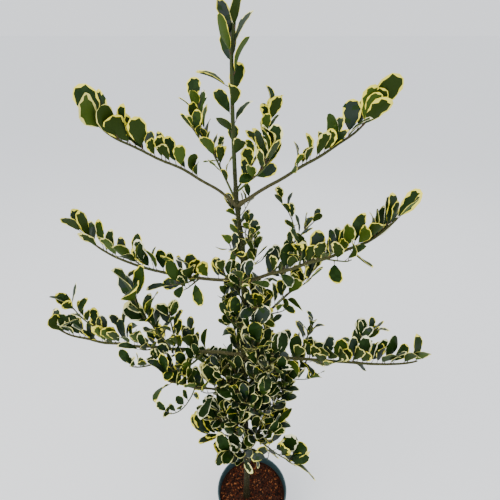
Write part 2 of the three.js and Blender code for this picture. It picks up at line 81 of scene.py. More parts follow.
POT_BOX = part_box("pot")
COMPOST_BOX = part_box("compost")
TRUNK_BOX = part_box("trunk")
POT_HEIGHT = POT_BOX[1].z
POT_RIM_RADIUS = POT_BOX[1].x
SOIL_RADIUS = COMPOST_BOX[1].x
SOIL = COMPOST_BOX[1].z / MM

# Trunk: heights are above the soil. Its sideways lean is given at a few heights.
TRUNK_BACK = -11
TRUNK_RADIUS = 10.5
TRUNK_THINNING = 0.0048
TRUNK_TOP = TRUNK_BOX[1].z / MM - SOIL
LEADER_TOP = 1500
FLARE = 3.5
FLARE_REACH = 18
TRUNK_LEAN = [
    (0, -20), (80, -20), (200, -17), (680, -26), (1035, -24), (1175, -37), (1435, -41), (1500, -35),
]

# Stems: how many degrees they wander, over what length, how much steeper they end and by what
# power of the way, how thin they end at least and as a share of their foot, the power that they
# thin out by, how far past a bough's tip the first leaf stands, how far before a stem's own tip the
# last one, how far past a cut the next point stands, and the angle from one leaf or shoot to the
# next. A stem steeper than STEEP is upright.
WANDER = 4
WAVE = 95
UPTURN = 34
UPTURN_POWER = 6
TIP_RADIUS = 1
TIP_SHARE = 0.4
TAPER = 0.5
TIP_CLEAR = 10
LAST_CLEAR = 1.5
CUT_SPACE = 1
GOLDEN = 137.5
STEEP = 0.95

# Branches and side shoots: radius as a share of their carrier's, bare share or length, and the
# side shoots' lengths, place along the carrier with its play, leaf gap and bend.
BRANCH_RADIUS = 0.62
BRANCH_BARE = 0.16
SHOOT_RADIUS = 0.6
SHOOT_BARE = 12
SHOOT_LENGTH = (45, 80)
SHOOT_CLEAR = 8
SHOOT_LAST = 0.72
SHOOT_PLAY = 0.6
SHOOT_GAP = 22
SHOOT_BEND = 12

# A direction on a stem is so much outwards, so much along it and so much up. Leaves reach further
# forward at a stem's tip and are lifted more on a level one, and the share DROOPING of them hangs.
# In the shade low on the plant leaves are lifted less, turned further round and narrower, by the
# amounts given at the soil and by nothing from the shade's top.
SHOOT_AIM = (0.75, 0.55, 0.3)
LEAF_SPLAY = 0.6
LEAF_FORWARD = (0.125, 0.475)
LEAF_TIP_FORWARD = 0.6
LEAF_TIP_POWER = 4
LEAF_LIFT = (0.315, 0.585)
LEAF_LEVEL_LIFT = 1.4
DROOPING = 0.11
DROOPING_LIFT = -0.15
SHADE_SAG = 1.1
SHADE_TWIST = 35
SHADE_NARROWER = 0.25
SHADE_TOP = 700
FACE_AIM = (-0.8, 0.3, 0.35)
FACE_LEVEL = -0.15
TWIST = 45

# On a level stem the leaves draw together into two rows.
ROW_FLATTEN = 0.75
ROW_SPREAD = 0.35

# Leaves on a stem: play in facing, spacing and size, and how much closer they stand at its tip.
# The solids carry fewer leaves than the plant, so here the gaps are closed to the shares given,
# the leaves are drawn larger by the factors given to make up for the finest twigs, and masses
# with side shoots have a few more of them.
FACING_PLAY = 30
GAP_PLAY = (0.75, 1.25)
SIZE_PLAY = (0.82, 1.18)
WIDTH_PLAY = (0.78, 1.18)
CROWDING = 0.45
LEAF_TRIES = ((0, 1), (120, 1), (240, 0.85))
LIMB_GAPS = 0.61
LEADER_GAPS = 0.85
COLUMN_GAPS = 0.54
LIMB_LARGER = 1.29
COLUMN_LARGER = 1.22
LIMB_SHOOTS = 1
COLUMN_SHOOTS = 2

# Room that a leaf keeps to the trunk and boughs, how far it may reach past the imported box, how
# many times its length off a leaf is too far to touch it, and what counts as parallel.
LIMB_SPACE = 1.2
BOX_PLAY = 6
LEAF_NEAR = 1.6
PARALLEL = 1e-9

# Leaf: shares of its own length, and places on it that have to be clear.
LEAF_WIDTH = 0.48
LEAF_FOOT = 0.1
LEAF_WIDEST = 0.58
LEAF_CURL = 0.06
LEAF_MARKS = (
    (0.2, 0), (0.4, 0), (0.6, 0), (0.8, 0), (1, 0),
    (0.35, 0.3), (LEAF_WIDEST, 0.5), (0.8, 0.25), (0.35, -0.3), (LEAF_WIDEST, -0.5), (0.8, -0.25),
)

# Long limbs, in the order: name, height above the soil, heading (0 is +X, 90 is +Y), turn along
# the limb, rise at foot and tip in degrees, length, foot radius, bare share, leaf gap, leaf
# length at foot and tip, side shoots, seed.
LIMBS = (
    ("upper_left", 1160, -158, 4, 45, 18, 318, 3.4, 0.32, 20, 35, 58, 0, 514),
    ("upper_right", 1160, 17, 1, 25, 22, 358, 4.2, 0.34, 20, 36, 70, 0, 671),
    ("middle_left", 964, 171, -2, -7, 25, 446, 4.6, 0.12, 33, 48, 62, 1, 548),
    ("middle_right", 960, -9, -8, 19, 31, 386, 4.6, 0.13, 25, 48, 58, 2, 973),
    ("inner_right", 776, 19, -3, 47, 31, 306, 3.8, 0.12, 22, 48, 50, 3, 827),
    ("lower_left", 714, 176, 0, -1, -3, 535, 5.4, 0.14, 28, 48, 64, 2, 687),
    ("under_left", 558, -163, 9, 31, 37, 273, 3.8, 0.12, 23, 60, 56, 2, 501),
    ("lower_right", 704, -7, -6, 8, 0, 452, 4.8, 0.1, 27, 50, 57, 3, 580),
    ("under_right", 490, 20, 0, 31, 31, 260, 3.6, 0.12, 31, 57, 50, 3, 24),
)

# Branches of those limbs: limb, which of its stems carries it (0 is the limb), place along that
# stem, heading, turn, rise at foot and tip, length, leaf gap, leaf length at foot and tip.
BRANCHES = (
    ("middle_right", 0, 0.25, 60, -50, 71, 20, 145, 25, 38, 34),
    ("middle_right", 1, 0.62, 125, 11, 65, 22, 106, 27, 32, 32),
    ("middle_left", 0, 0.25, -167, 20, -38, -20, 48, 23, 36, 38),
    ("lower_left", 0, 0.7, -173, 27, 58, 60, 191, 27, 44, 50),
    ("lower_left", 0, 0.39, -146, 28, 74, 62, 242, 25, 54, 70),
    ("lower_left", 0, 0.34, -95, 6, 74, 70, 168, 28, 50, 38),
    ("lower_left", 0, 0.3, -145, 2, -6, 15, 164, 25, 38, 40),
    ("lower_left", 0, 0.21, -128, -10, -30, 50, 132, 27, 38, 36),
    ("under_left", 0, 0.62, -115, -38, -55, 48, 123, 27, 34, 30),
    ("lower_right", 0, 0.65, 65, -53, 72, 10, 114, 23, 38, 36),
    ("lower_right", 0, 0.33, 42, -5, 57, 53, 113, 27, 33, 36),
)

# Shoots that grow straight from the trunk, in the same order as the long limbs.
SHOOTS = (
    ("upper_back", 1166, 131, 6, 52, 47, 237, 2.6, 0.2, 24, 34, 48, 1, 201),
    ("upper_front", 1190, -34, -14, 38, 48, 146, 2.4, 0.25, 20, 34, 56, 0, 444),
    ("upper_side", 1194, 40, 17, 42, 53, 188, 2.4, 0.25, 23, 34, 46, 0, 402),
    ("low_left", 372, -165, -10, 4, -20, 116, 2.6, 0.3, 14, 80, 80, 0, 580),
    ("low_right", 362, -38, -8, 10, 4, 175, 2.8, 0.25, 20, 72, 88, 1, 91),
)

# The leafy column round the trunk is two runs of shoots that climb it a golden angle apart.
# Their length changes towards the front, back and right by the amounts given, and they are
# shorter at the top by the taper.
COLUMN_LOW = {
    "name": "column", "count": 14, "low": 282, "high": 645, "heading": 117, "length": 150,
    "front": -59, "back": 55, "right": 30, "taper": 0, "rise": (20, 43), "radius": 2.7,
    "bare": 0.18, "gap": 18, "leaf": (64, 50), "side": 2,
}
COLUMN_HIGH = {
    "name": "spray", "count": 10, "low": 725, "high": 1098, "heading": 292, "length": 78,
    "front": 70, "back": 76, "right": 11, "taper": 0.62, "rise": (39, 50), "radius": 2.4,
    "bare": 0.2, "gap": 23, "leaf": (52, 30), "side": 1,
}
COLUMN_TURN = 12
COLUMN_BEND = 14
COLUMN_TIP_LEAF = 0.86

# The leader's first leaf, leaf gap, and leaf length at foot and tip.
LEADER = (26, 26, 37, 56)

# Seeds of the numbers that the leader and each column draw, counted up by one for each shoot.
SEEDS = {"column": 896, "spray": 541, "leader": 116}
STYLE_SEED = 900
CHIP_SEED = 77

# Pitch of the rings on each kind of wood, and its sides. The trunk starts a little under the soil.
TRUNK_BURIED = 6
TRUNK_PITCH = 4
TRUNK_SIDES = 28
STEM_PITCH = 7
LIMB_SIDES = 12
TWIG_SIDES = 6
PETIOLE_SIDES = 4

UP = np.array([0.0, 0.0, 1.0])

# ---- numbers and directions


def seeded(seed):
    """One stream of numbers between 0 and 1 for each seed."""
    whole = 0xFFFFFFFF
    state = seed & whole

    def draw():
        nonlocal state
        state = (state + 0x6D2B79F5) & whole
        mixed = ((state ^ (state >> 15)) * (state | 1)) & whole
        mixed = ((mixed + (mixed ^ (mixed >> 7)) * (mixed | 61)) & whole) ^ mixed
        return (mixed ^ (mixed >> 14)) / (whole + 1)

    return draw


def mix(low, high, share):
    return low + (high - low) * share


def unit(vector):
    return vector / math.sqrt(vector @ vector)


def cross(one, other):
    return np.array([
        one[1] * other[2] - one[2] * other[1],
        one[2] * other[0] - one[0] * other[2],
        one[0] * other[1] - one[1] * other[0],
    ])


def evenly(low, high, pitch):
    """Places from one end of a stretch to the other, as near to a pitch apart as they go evenly."""
    return np.linspace(low, high, max(1, round((high - low) / pitch)) + 1)


def pointing(heading, rise):
    """The direction at a heading and a rise in degrees."""
    heading, rise = math.radians(heading), math.radians(rise)
    flat = math.cos(rise)
    return np.array([flat * math.cos(heading), flat * math.sin(heading), math.sin(rise)])


def around(along):
    """Two directions square to a stem, the first as near to straight up as it can be."""
    guide = np.array([1.0, 0.0, 0.0]) if abs(along[2]) > STEEP else UP
    first = unit(guide - along * (guide @ along))
    return first, cross(along, first)


def outward(along, angle):
    """The direction that a leaf or side shoot takes at an angle round a stem. On a stem that lies
    level they stand in two rows, one at each side of it."""
    first, second = around(along)
    level = 1 - abs(along[2])
    beside = math.sin(angle)
    return unit(
        first * (math.cos(angle) * (1 - ROW_FLATTEN * level))
        + second * (beside + math.copysign(ROW_SPREAD * level, beside)))


def aim(out, along, amounts):
    """A direction of so much outwards from a stem, so much along it and so much up."""
    return unit(out * amounts[0] + along * amounts[1] + UP * amounts[2])


# ---- lines


class Line:
    """A row of points with a radius at each."""

    def __init__(self, points, radii):
        self.points = np.array(points)
        steps = np.linalg.norm(np.diff(self.points, axis=0), axis=1)
        self.arc = np.concatenate([[0], np.cumsum(steps)])
        self.length = self.arc[-1]
        self.radii = np.array(radii)

    def at(self, s):
        """The point, direction and radius at a place along the line."""
        i = min(max(1, np.searchsorted(self.arc, s)), len(self.arc) - 1)
        share = (s - self.arc[i - 1]) / (self.arc[i] - self.arc[i - 1])
        run = self.points[i] - self.points[i - 1]
        return self.points[i - 1] + run * share, unit(run), mix(*self.radii[i - 1:i + 1], share)

    def past(self, s):
        """The stretch of the line from a place to its end."""
        point, _, radius = self.at(s)
        after = self.arc > s + CUT_SPACE
        return Line([point, *self.points[after]], [radius, *self.radii[after]])


def stem_line(foot, heading, turn, rise, tip_rise, length, radius, draw):
    """A stem that starts at a point and bends evenly from one heading and rise to another."""
    steps = max(2, round(length / STEM_PITCH))
    phases = draw() * 2 * math.pi, draw() * 2 * math.pi
    points = [np.array(foot)]
    for i in range(steps):
        share = (i + 0.5) / steps
        sway = 2 * math.pi * share * length / WAVE
        swing = [WANDER * (math.sin(sway + phase) - math.sin(phase) / 2) for phase in phases]
        direction = pointing(
            heading + turn * share + swing[0],
            mix(rise, tip_rise, share) + UPTURN * share ** UPTURN_POWER + swing[1])
        points.append(points[-1] + direction * (length / steps))
    tip = max(TIP_RADIUS, TIP_SHARE * radius)
    return Line(points, [mix(tip, radius, (1 - i / steps) ** TAPER) for i in range(steps + 1)])


def trunk_middle(height):
    """The trunk's middle at a height above the soil, on a smooth curve through its lean."""
    last = len(TRUNK_LEAN) - 2
    i = min(last, max(0, sum(level <= height for level, _ in TRUNK_LEAN) - 1))

    def slope(k):
        low, high = TRUNK_LEAN[max(0, k - 1)], TRUNK_LEAN[min(last + 1, k + 1)]
        return (high[1] - low[1]) / (high[0] - low[0])

    (h0, x0), (h1, x1) = TRUNK_LEAN[i], TRUNK_LEAN[i + 1]
    span = h1 - h0
    u = min(1, (height - h0) / span)
    x = (
        x0 * (1 + 2 * u) * (1 - u) ** 2 + x1 * u * u * (3 - 2 * u)
        + slope(i) * span * u * (1 - u) ** 2 - slope(i + 1) * span * u * u * (1 - u))
    return np.array([x, TRUNK_BACK, SOIL + height])


def trunk_radius(height):
    return TRUNK_RADIUS - TRUNK_THINNING * height + FLARE * math.exp(-height / FLARE_REACH)


def trunk_line(heights):
    return Line([trunk_middle(h) for h in heights], [trunk_radius(h) for h in heights])


# ---- growth


class Stem(typing.NamedTuple):
    """A line that carries leaves: where they start, their gap, and their length at foot and tip."""

    line: Line
    start: float
    gap: float
    leaf: float
    tip_leaf: float


class Mass:
    """A mass of foliage: its stems, how many side shoots it has, and the numbers that it draws."""

    def __init__(self, name, stems, side, draw, bare=0):
        self.name = name
        self.stems = stems
        self.side = side
        self.draw = draw
        self.bare = bare
        self.shoots = []
        self.leaves = []


class Leaf:
    """A leaf's foot, the way it points, the way its upper face looks, and its size."""

    def __init__(self, foot, axis, face, length, width):
        self.foot = foot
        self.axis = axis
        self.face = face
        self.side = cross(axis, face)
        self.length = length
        self.width = width

    def on(self, reach, across, height=0.0):
        """A place on the leaf, as shares of its length and width."""
        return (
            self.foot + self.axis * (reach * self.length)
            + self.side * (across * self.width) + self.face * (height * self.length))

    def corners(self):
        """Its flat outline, as the crown tests it against others."""
        return np.array([
            self.on(LEAF_FOOT, 0), self.on(LEAF_WIDEST, 0.5), self.on(1, 0),
            self.on(LEAF_WIDEST, -0.5)])

    def marks(self):
        """Places on its curled blade that have to be clear of the limbs and inside the box."""
        return np.array([
            self.on(reach, across, LEAF_CURL * math.sin(math.pi * reach))
            for reach, across in LEAF_MARKS])


def pierces(starts, ends, triangles):
    """Whether any of some lines passes through any of some triangles."""
    run = (ends - starts)[:, None]
    one = (triangles[:, 1] - triangles[:, 0])[None]
    other = (triangles[:, 2] - triangles[:, 0])[None]
    across = np.cross(run, other)
    flat = (one * across).sum(-1)
    flat = np.where(abs(flat) < PARALLEL, np.inf, flat)
    away = starts[:, None] - triangles[None, :, 0]
    u = (away * across).sum(-1) / flat
    turned = np.cross(away, one)
    v = (run * turned).sum(-1) / flat
    reach = (other * turned).sum(-1) / flat
    return bool(((u >= 0) & (v >= 0) & (u + v <= 1) & (reach >= 0) & (reach <= 1)).any())


def halves(outlines):
    """The two triangles of each four-cornered outline."""
    return np.concatenate([outlines[:, [0, 1, 2]], outlines[:, [0, 2, 3]]])


def segments(lines):
    """The starts and ends of all the steps of some lines, with the radius at each start."""
    starts = np.concatenate([line.points[:-1] for line in lines])
    ends = np.concatenate([line.points[1:] for line in lines])
    return starts, ends, np.concatenate([line.radii[:-1] for line in lines])


class Crown:
    """What stands in the crown so far. A new leaf crosses no leaf and no stem, stays clear of the
    trunk and boughs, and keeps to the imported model's reach."""

    def __init__(self, stems, limbs):
        self.low, self.high = np.array(CAD_BOX) / MM
        self.starts, self.ends, _ = segments(stems)
        self.limb_starts, self.limb_ends, self.limb_radii = segments(limbs)
        self.outlines = np.zeros((0, 4, 3))

    def takes(self, leaf):
        """Whether there is room for a leaf."""
        outline = leaf.corners()
        mine = halves(outline[None])
        middle = outline.mean(0)
        away = np.linalg.norm(self.outlines.mean(1) - middle, axis=1)
        near = away < LEAF_NEAR * leaf.length
        if near.any():
            others = self.outlines[near]
            if pierces(outline, np.roll(outline, -1, 0), halves(others)):
                return False
            if pierces(others.reshape(-1, 3), np.roll(others, -1, 1).reshape(-1, 3), mine):
                return False
        close = np.linalg.norm(self.starts - middle, axis=1) < leaf.length
        if close.any() and pierces(self.starts[close], self.ends[close], mine):
            return False
        marks = leaf.marks()
        if (marks < self.low - BOX_PLAY).any() or (marks > self.high + BOX_PLAY).any():
            return False
        return self.clear_of_limbs(marks)

    def clear_of_limbs(self, marks):
        """Whether all of some places are outside the trunk's and boughs' bark."""
        run = self.limb_ends - self.limb_starts
        away = marks[:, None] - self.limb_starts
        share = np.clip((away * run).sum(-1) / (run * run).sum(-1), 0, 1)
        gaps = np.linalg.norm(away - run * share[..., None], axis=-1) - self.limb_radii
        return gaps.min() > LIMB_SPACE

    def add(self, leaf):
        self.outlines = np.concatenate([self.outlines, leaf.corners()[None]])


def leaf_on(line, s, angle, length, habit):
    """A leaf at a place on a stem. It leaves the stem sideways and forwards and is lifted towards
    the light, or hangs, with its upper face turned in and up."""
    point, along, _ = line.at(s)
    out = outward(along, angle)
    level = 1 - abs(along[2])
    shade = max(0, 1 - (point[2] - SOIL) / SHADE_TOP)
    lift = mix(*LEAF_LIFT, habit[0]) + LEAF_LEVEL_LIFT * level - SHADE_SAG * shade
    if habit[0] < DROOPING:
        lift = DROOPING_LIFT
    forward = mix(*LEAF_FORWARD, habit[1]) + LEAF_TIP_FORWARD * (s / line.length) ** LEAF_TIP_POWER
    axis = aim(out, along, (LEAF_SPLAY, forward, lift))
    face = aim(out, along, (FACE_AIM[0], FACE_AIM[1] + FACE_LEVEL * level, FACE_AIM[2]))
    face = unit(face - axis * (face @ axis))
    turn = math.radians(TWIST + SHADE_TWIST * shade) * (2 * habit[2] - 1)
    face = face * math.cos(turn) + cross(axis, face) * math.sin(turn)
    size = length * mix(*SIZE_PLAY, habit[3])
    width = size * LEAF_WIDTH * (1 - SHADE_NARROWER * shade) * mix(*WIDTH_PLAY, habit[1])
    return Leaf(point, axis, face, size, width)


def grow_leaves(stem, share_of_gap, larger, mass, crown):
    """Leaves along a stem, closer together and reaching further forward towards its tip. A leaf
    with no room is tried again smaller and a third of a turn on, and then left out."""
    draw, line = mass.draw, stem.line
    angle = 360 * draw()
    s = stem.start
    while s < line.length - LAST_CLEAR:
        share = s / line.length
        facing = angle + FACING_PLAY * (draw() - 0.5)
        habit = [draw() for _ in range(4)]
        for turn, smaller in LEAF_TRIES:
            length = larger * smaller * mix(stem.leaf, stem.tip_leaf, share)
            leaf = leaf_on(line, s, math.radians(facing + turn), length, habit)
            if crown.takes(leaf):
                crown.add(leaf)
                mass.leaves.append(leaf)
                break
        angle += GOLDEN
        s += share_of_gap * stem.gap * (1 - CROWDING * share) * mix(*GAP_PLAY, draw())


def side_shoots(line, start, count, draw):
    """Short side shoots on a stem, spaced along it from near its foot."""
    shoots = []
    angle = 360 * draw()
    for i in range(count):
        s = mix(start + SHOOT_CLEAR, line.length * SHOOT_LAST, (i + SHOOT_PLAY * draw()) / count)
        point, along, radius = line.at(s)
        axis = aim(outward(along, math.radians(angle)), along, SHOOT_AIM)
        heading = math.degrees(math.atan2(axis[1], axis[0]))
        rise = math.degrees(math.asin(axis[2]))
        length = mix(*SHOOT_LENGTH, draw())
        shoots.append(stem_line(
            point, heading, 0, rise, rise + SHOOT_BEND, length, radius * SHOOT_RADIUS, draw))
        angle += GOLDEN
    return shoots


def rooted_mass(row):
    """A mass from the row of its limb or shoot: the whole stem, and the stems of its branches."""
    name, height, heading, turn, rise, tip_rise, length, radius, *habit = row
    bare, gap, leaf, tip_leaf, side, seed = habit
    draw = seeded(seed)
    whole = stem_line(trunk_middle(height), heading, turn, rise, tip_rise, length, radius, draw)
    stems = [Stem(whole, bare * length, gap, leaf, tip_leaf)]
    for host, carrier, place, *shape, reach, branch_gap, large, small in BRANCHES:
        if host == name:
            carried = stems[carrier].line
            point, _, thick = carried.at(place * carried.length)
            line = stem_line(point, *shape, reach, thick * BRANCH_RADIUS, draw)
            stems.append(Stem(line, BRANCH_BARE * reach, branch_gap, large, small))
    return Mass(name, stems, side, draw, bare * length)


def column_rows(column, seed):
    """The shoots of one leafy column, as rows like those of the long limbs."""
    rows = []
    for i in range(column["count"]):
        share = i / (column["count"] - 1)
        facing = column["heading"] + GOLDEN * i
        aside, behind, _ = pointing(facing, 0)
        reach = column["length"] + abs(behind) * column["back" if behind > 0 else "front"]
        reach = (reach + aside * column["right"]) * (1 - column["taper"] * share)
        lift = mix(*column["rise"], share)
        leaf = mix(*column["leaf"], share)
        rows.append((
            f"{column['name']}_{i + 1}", mix(column["low"], column["high"], share), facing,
            COLUMN_TURN, lift, lift + COLUMN_BEND, reach, column["radius"], column["bare"],
            column["gap"], leaf, leaf * COLUMN_TIP_LEAF, column["side"], seed + i))
    return rows


COLUMN_ROWS = column_rows(COLUMN_LOW, SEEDS["column"])
SPRAY_ROWS = column_rows(COLUMN_HIGH, SEEDS["spray"])


def leader():
    """The leader carries the trunk on from its top, straight into its leaves."""
    start, gap, leaf, tip_leaf = LEADER
    line = trunk_line(evenly(TRUNK_TOP, LEADER_TOP, STEM_PITCH))
    return Mass("leader", [Stem(line, start, gap, leaf, tip_leaf)], 0, seeded(SEEDS["leader"]))


@functools.lru_cache(maxsize=1)
def grown():
    """All the masses of the plant with their leaves. Every stem stands before the first leaf."""
    limbs, shoots, low, high = (
        [rooted_mass(row) for row in rows] for rows in (LIMBS, SHOOTS, COLUMN_ROWS, SPRAY_ROWS))
    masses = [*limbs, *shoots, *low, *high, leader()]
    trunk = trunk_line(evenly(0, TRUNK_TOP, STEM_PITCH))
    for mass in masses:
        more = COLUMN_SHOOTS if mass in low else LIMB_SHOOTS
        for i, stem in enumerate(mass.stems):
            count = 0 if i or not mass.side else mass.side + more
            mass.shoots += side_shoots(stem.line, stem.start, count, mass.draw)
    lines = [line for mass in masses for line in [*(s.line for s in mass.stems), *mass.shoots]]
    crown = Crown(lines, [trunk, *(mass.stems[0].line for mass in limbs)])
    for mass in masses:
        gaps = COLUMN_GAPS if mass in low else LIMB_GAPS
        if mass.name == "leader":
            gaps = LEADER_GAPS
        larger = COLUMN_LARGER if mass in low or mass.name.startswith("low_") else LIMB_LARGER
        first, *branches = mass.stems
        size = first.leaf
        if mass in limbs:
            first = first._replace(line=first.line.past(mass.bare), start=TIP_CLEAR)
        leafy = [Stem(line, SHOOT_BARE, SHOOT_GAP, size, size) for line in mass.shoots]
        for stem in (first, *branches, *leafy):
            grow_leaves(stem, gaps, larger, mass, crown)
    return masses


# ---- colours and materials


def linear(colour):
    """An sRGB hex colour as linear red, green, blue and alpha."""
    parts = [int(colour[i:i + 2], 16) / 255 for i in (1, 3, 5)]
    return (*((c / 12.92 if c <= 0.04045 else ((c + 0.055) / 1.055) ** 2.4) for c in parts), 1.0)


def add_node(tree, kind, sockets, output=0, stops=(), **settings):
    """Adds a node with its settings, and gives back one of its outputs. Each socket gets a value,
    a hex colour, or a link from another node's output. Stops are a ramp's places and colours."""
    made = tree.nodes.new(kind)
    for name, value in settings.items():
        setattr(made, name, value)
    for i, (place, colour) in enumerate(stops):
        elements = made.color_ramp.elements
        element = elements[i] if i < len(elements) else elements.new(place)
        element.position = place
        element.color = linear(colour)
    for name, value in sockets.items():
        if isinstance(value, bpy.types.NodeSocket):
            tree.links.new(value, made.inputs[name])
        else:
            made.inputs[name].default_value = linear(value) if isinstance(value, str) else value
    return made.outputs[output] if len(made.outputs) else None


def new_material(name):
    """An empty node material."""
    material = bpy.data.materials.new(name)
    material.use_nodes = True
    material.node_tree.nodes.clear()
    return material, material.node_tree


def surface(tree, sockets):
    """Ends a material in its shader, with the sockets given."""
    shader = add_node(tree, "ShaderNodeBsdfPrincipled", sockets)
    add_node(tree, "ShaderNodeOutputMaterial", {"Surface": shader})


def plain_materials(finishes):
    """Materials of one plain colour each: the colour, roughness, sheen and weight of the wax."""
    made = []
    for name, (colour, rough, sheen, wax) in finishes.items():
        material, tree = new_material(name)
        surface(tree, {
            "Base Color": colour, "Roughness": rough, "Specular IOR Level": sheen,
            "Coat Weight": wax, "Coat Roughness": WAX_ROUGHNESS})
        made.append(material)
    return made


def object_place(tree, stretch=(1.0, 1.0, 1.0), moved=(0.0, 0.0, 0.0)):
    """Object coordinates, squeezed and moved by the amounts given."""
    place = add_node(tree, "ShaderNodeTexCoord", {}, "Object")
    return add_node(tree, "ShaderNodeMapping", {
        "Vector": place, "Scale": stretch, "Location": moved})


def per_mm(feature):
    """The scale of a pattern whose features have a size in millimetres."""
    return 1 / (feature * MM)


# What a node that mixes two colours needs. Its colours are its inputs 6 and 7 and its output 2.
COLOURS = {"output": 2, "data_type": "RGBA"}

# Waxy holly leaf, upper side: a smooth cuticle over very dark tissue, so it is nearly black green
# with a soft grey gleam, and its margin has no green at all and shows cream or yellow. Lower side:
# the same leaf with no wax, matt and a paler olive. Each is one plain colour, with its roughness,
# its sheen and the weight of its coat of wax.
WAX_ROUGHNESS = 0.25
LEAF_FINISHES = {
    "leaf_dark": ("#0A2310", 0.48, 0.28, 0.05),
    "leaf_deep": ("#162C07", 0.52, 0.12, 0.0),
    "leaf_green": ("#293F0B", 0.54, 0.12, 0.0),
    "leaf_feather": ("#1D340E", 0.52, 0.12, 0.0),
    "edge_yellow": ("#FFF250", 0.50, 0.35, 0.05),
    "edge_cream": ("#FFFAA2", 0.50, 0.35, 0.05),
    "edge_pale": ("#FFFED0", 0.50, 0.35, 0.05),
    "under_olive": ("#253607", 0.62, 0.12, 0.0),
    "under_green": ("#3A4E12", 0.62, 0.12, 0.0),
    "under_edge": ("#F2EA80", 0.62, 0.2, 0.0),
}
LEAF_SLOTS = {name: i for i, name in enumerate(LEAF_FINISHES)}

# Young holly wood: green and smooth on this year's twigs, darker on the leader's thicker stem, and
# flushed purple brown on the leaf stalks.
TWIG_FINISHES = {
    "twig_green": ("#444E20", 0.55, 0.25, 0.0),
    "leader_green": ("#323D14", 0.6, 0.25, 0.0),
    "petiole": ("#553C2B", 0.5, 0.25, 0.0),
}
TWIG_SLOTS = {name: i for i, name in enumerate(TWIG_FINISHES)}

# Holly bark: how far up the trunk and how far out along a bough it turns from old to young, in
# metres, and the move that brings the trunk's middle to the axis which the second starts from. The
# old colour carries painted shade at the trunk's foot and painted light on the boughs near the
# trunk.
YOUNG_HEIGHT = 0.5
YOUNG_REACH = (0.01, 0.16)
BARK_MIDDLE = (0.025, 0.011, 0.0)


def bark_material(name, young, old_and_painted_light, reach):
    """Holly bark: smooth, olive on young wood and grey brown on old, with pale raised lenticels
    drawn out across the stem. It turns old towards the trunk's middle or foot. The old colour is
    partly painted light: darker with painted shade at the trunk's foot, lighter on the boughs near
    the trunk."""
    material, tree = new_material(name)
    # Streaks 5 mm wide run along the stem over blotches of 38 mm, with 5.5 mm from pore to pore.
    streaks = add_node(tree, "ShaderNodeTexNoise", {
        "Vector": object_place(tree, (1.0, 1.0, 0.22)), "Scale": per_mm(5), "Detail": 6.0,
        "Roughness": 0.6})
    blotches = add_node(tree, "ShaderNodeTexNoise", {
        "Vector": object_place(tree), "Scale": per_mm(38), "Detail": 3.0, "Roughness": 0.55})
    mottled = add_node(
        tree, "ShaderNodeMix", {"Factor": blotches, 6: young, 7: old_and_painted_light}, **COLOURS)
    toned = add_node(
        tree, "ShaderNodeMix", {"Factor": reach(tree), 6: old_and_painted_light, 7: mottled}, **COLOURS)
    shades = add_node(
        tree, "ShaderNodeValToRGB", {"Fac": streaks},
        stops=((0.30, "#57503A"), (0.70, "#C9C49E")))
    streaked = add_node(
        tree, "ShaderNodeMix", {"Factor": 0.55, 6: toned, 7: shades}, blend_type="MULTIPLY",
        **COLOURS)
    pores = add_node(tree, "ShaderNodeTexVoronoi", {
        "Vector": object_place(tree, (1.0, 1.0, 2.6)), "Scale": per_mm(5.5)}, "Distance")
    spots = add_node(tree, "ShaderNodeMapRange", {
        "Value": pores, "From Min": 0.10, "From Max": 0.20, "To Min": 1.0, "To Max": 0.0})
    spotted = add_node(
        tree, "ShaderNodeMix", {"Factor": spots, 6: streaked, 7: "#9C9270"}, **COLOURS)
    rough = add_node(
        tree, "ShaderNodeMapRange", {"Value": streaks, "To Min": 0.62, "To Max": 0.82})
    height = add_node(tree, "ShaderNodeMath", {0: spots, 1: streaks}, operation="ADD")
    raised = add_node(
        tree, "ShaderNodeBump", {"Height": height, "Strength": 0.55, "Distance": 0.6 * MM})
    surface(tree, {
        "Base Color": spotted, "Roughness": rough, "Specular IOR Level": 0.2, "Normal": raised})
    return material


def by_height(tree):
    """How far up the trunk a place is, from 0 at the soil, where the old colour adds painted shade,
    to 1 where its bark is all young.
    """
    height = add_node(tree, "ShaderNodeSeparateXYZ", {"Vector": object_place(tree)}, "Z")
    return add_node(tree, "ShaderNodeMapRange", {
        "Value": height, "From Min": SOIL * MM, "From Max": SOIL * MM + YOUNG_HEIGHT})


def by_distance(tree):
    """How far out from the trunk a place is, from 0 at the bark, where the old colour adds painted
    light, to 1 where a limb is all young.
    """
    away = object_place(tree, (1.0, 1.0, 0.0), BARK_MIDDLE)
    reach = add_node(tree, "ShaderNodeVectorMath", {0: away}, "Value", operation="LENGTH")
    return add_node(tree, "ShaderNodeMapRange", {
        "Value": reach, "From Min": YOUNG_REACH[0], "From Max": YOUNG_REACH[1]})


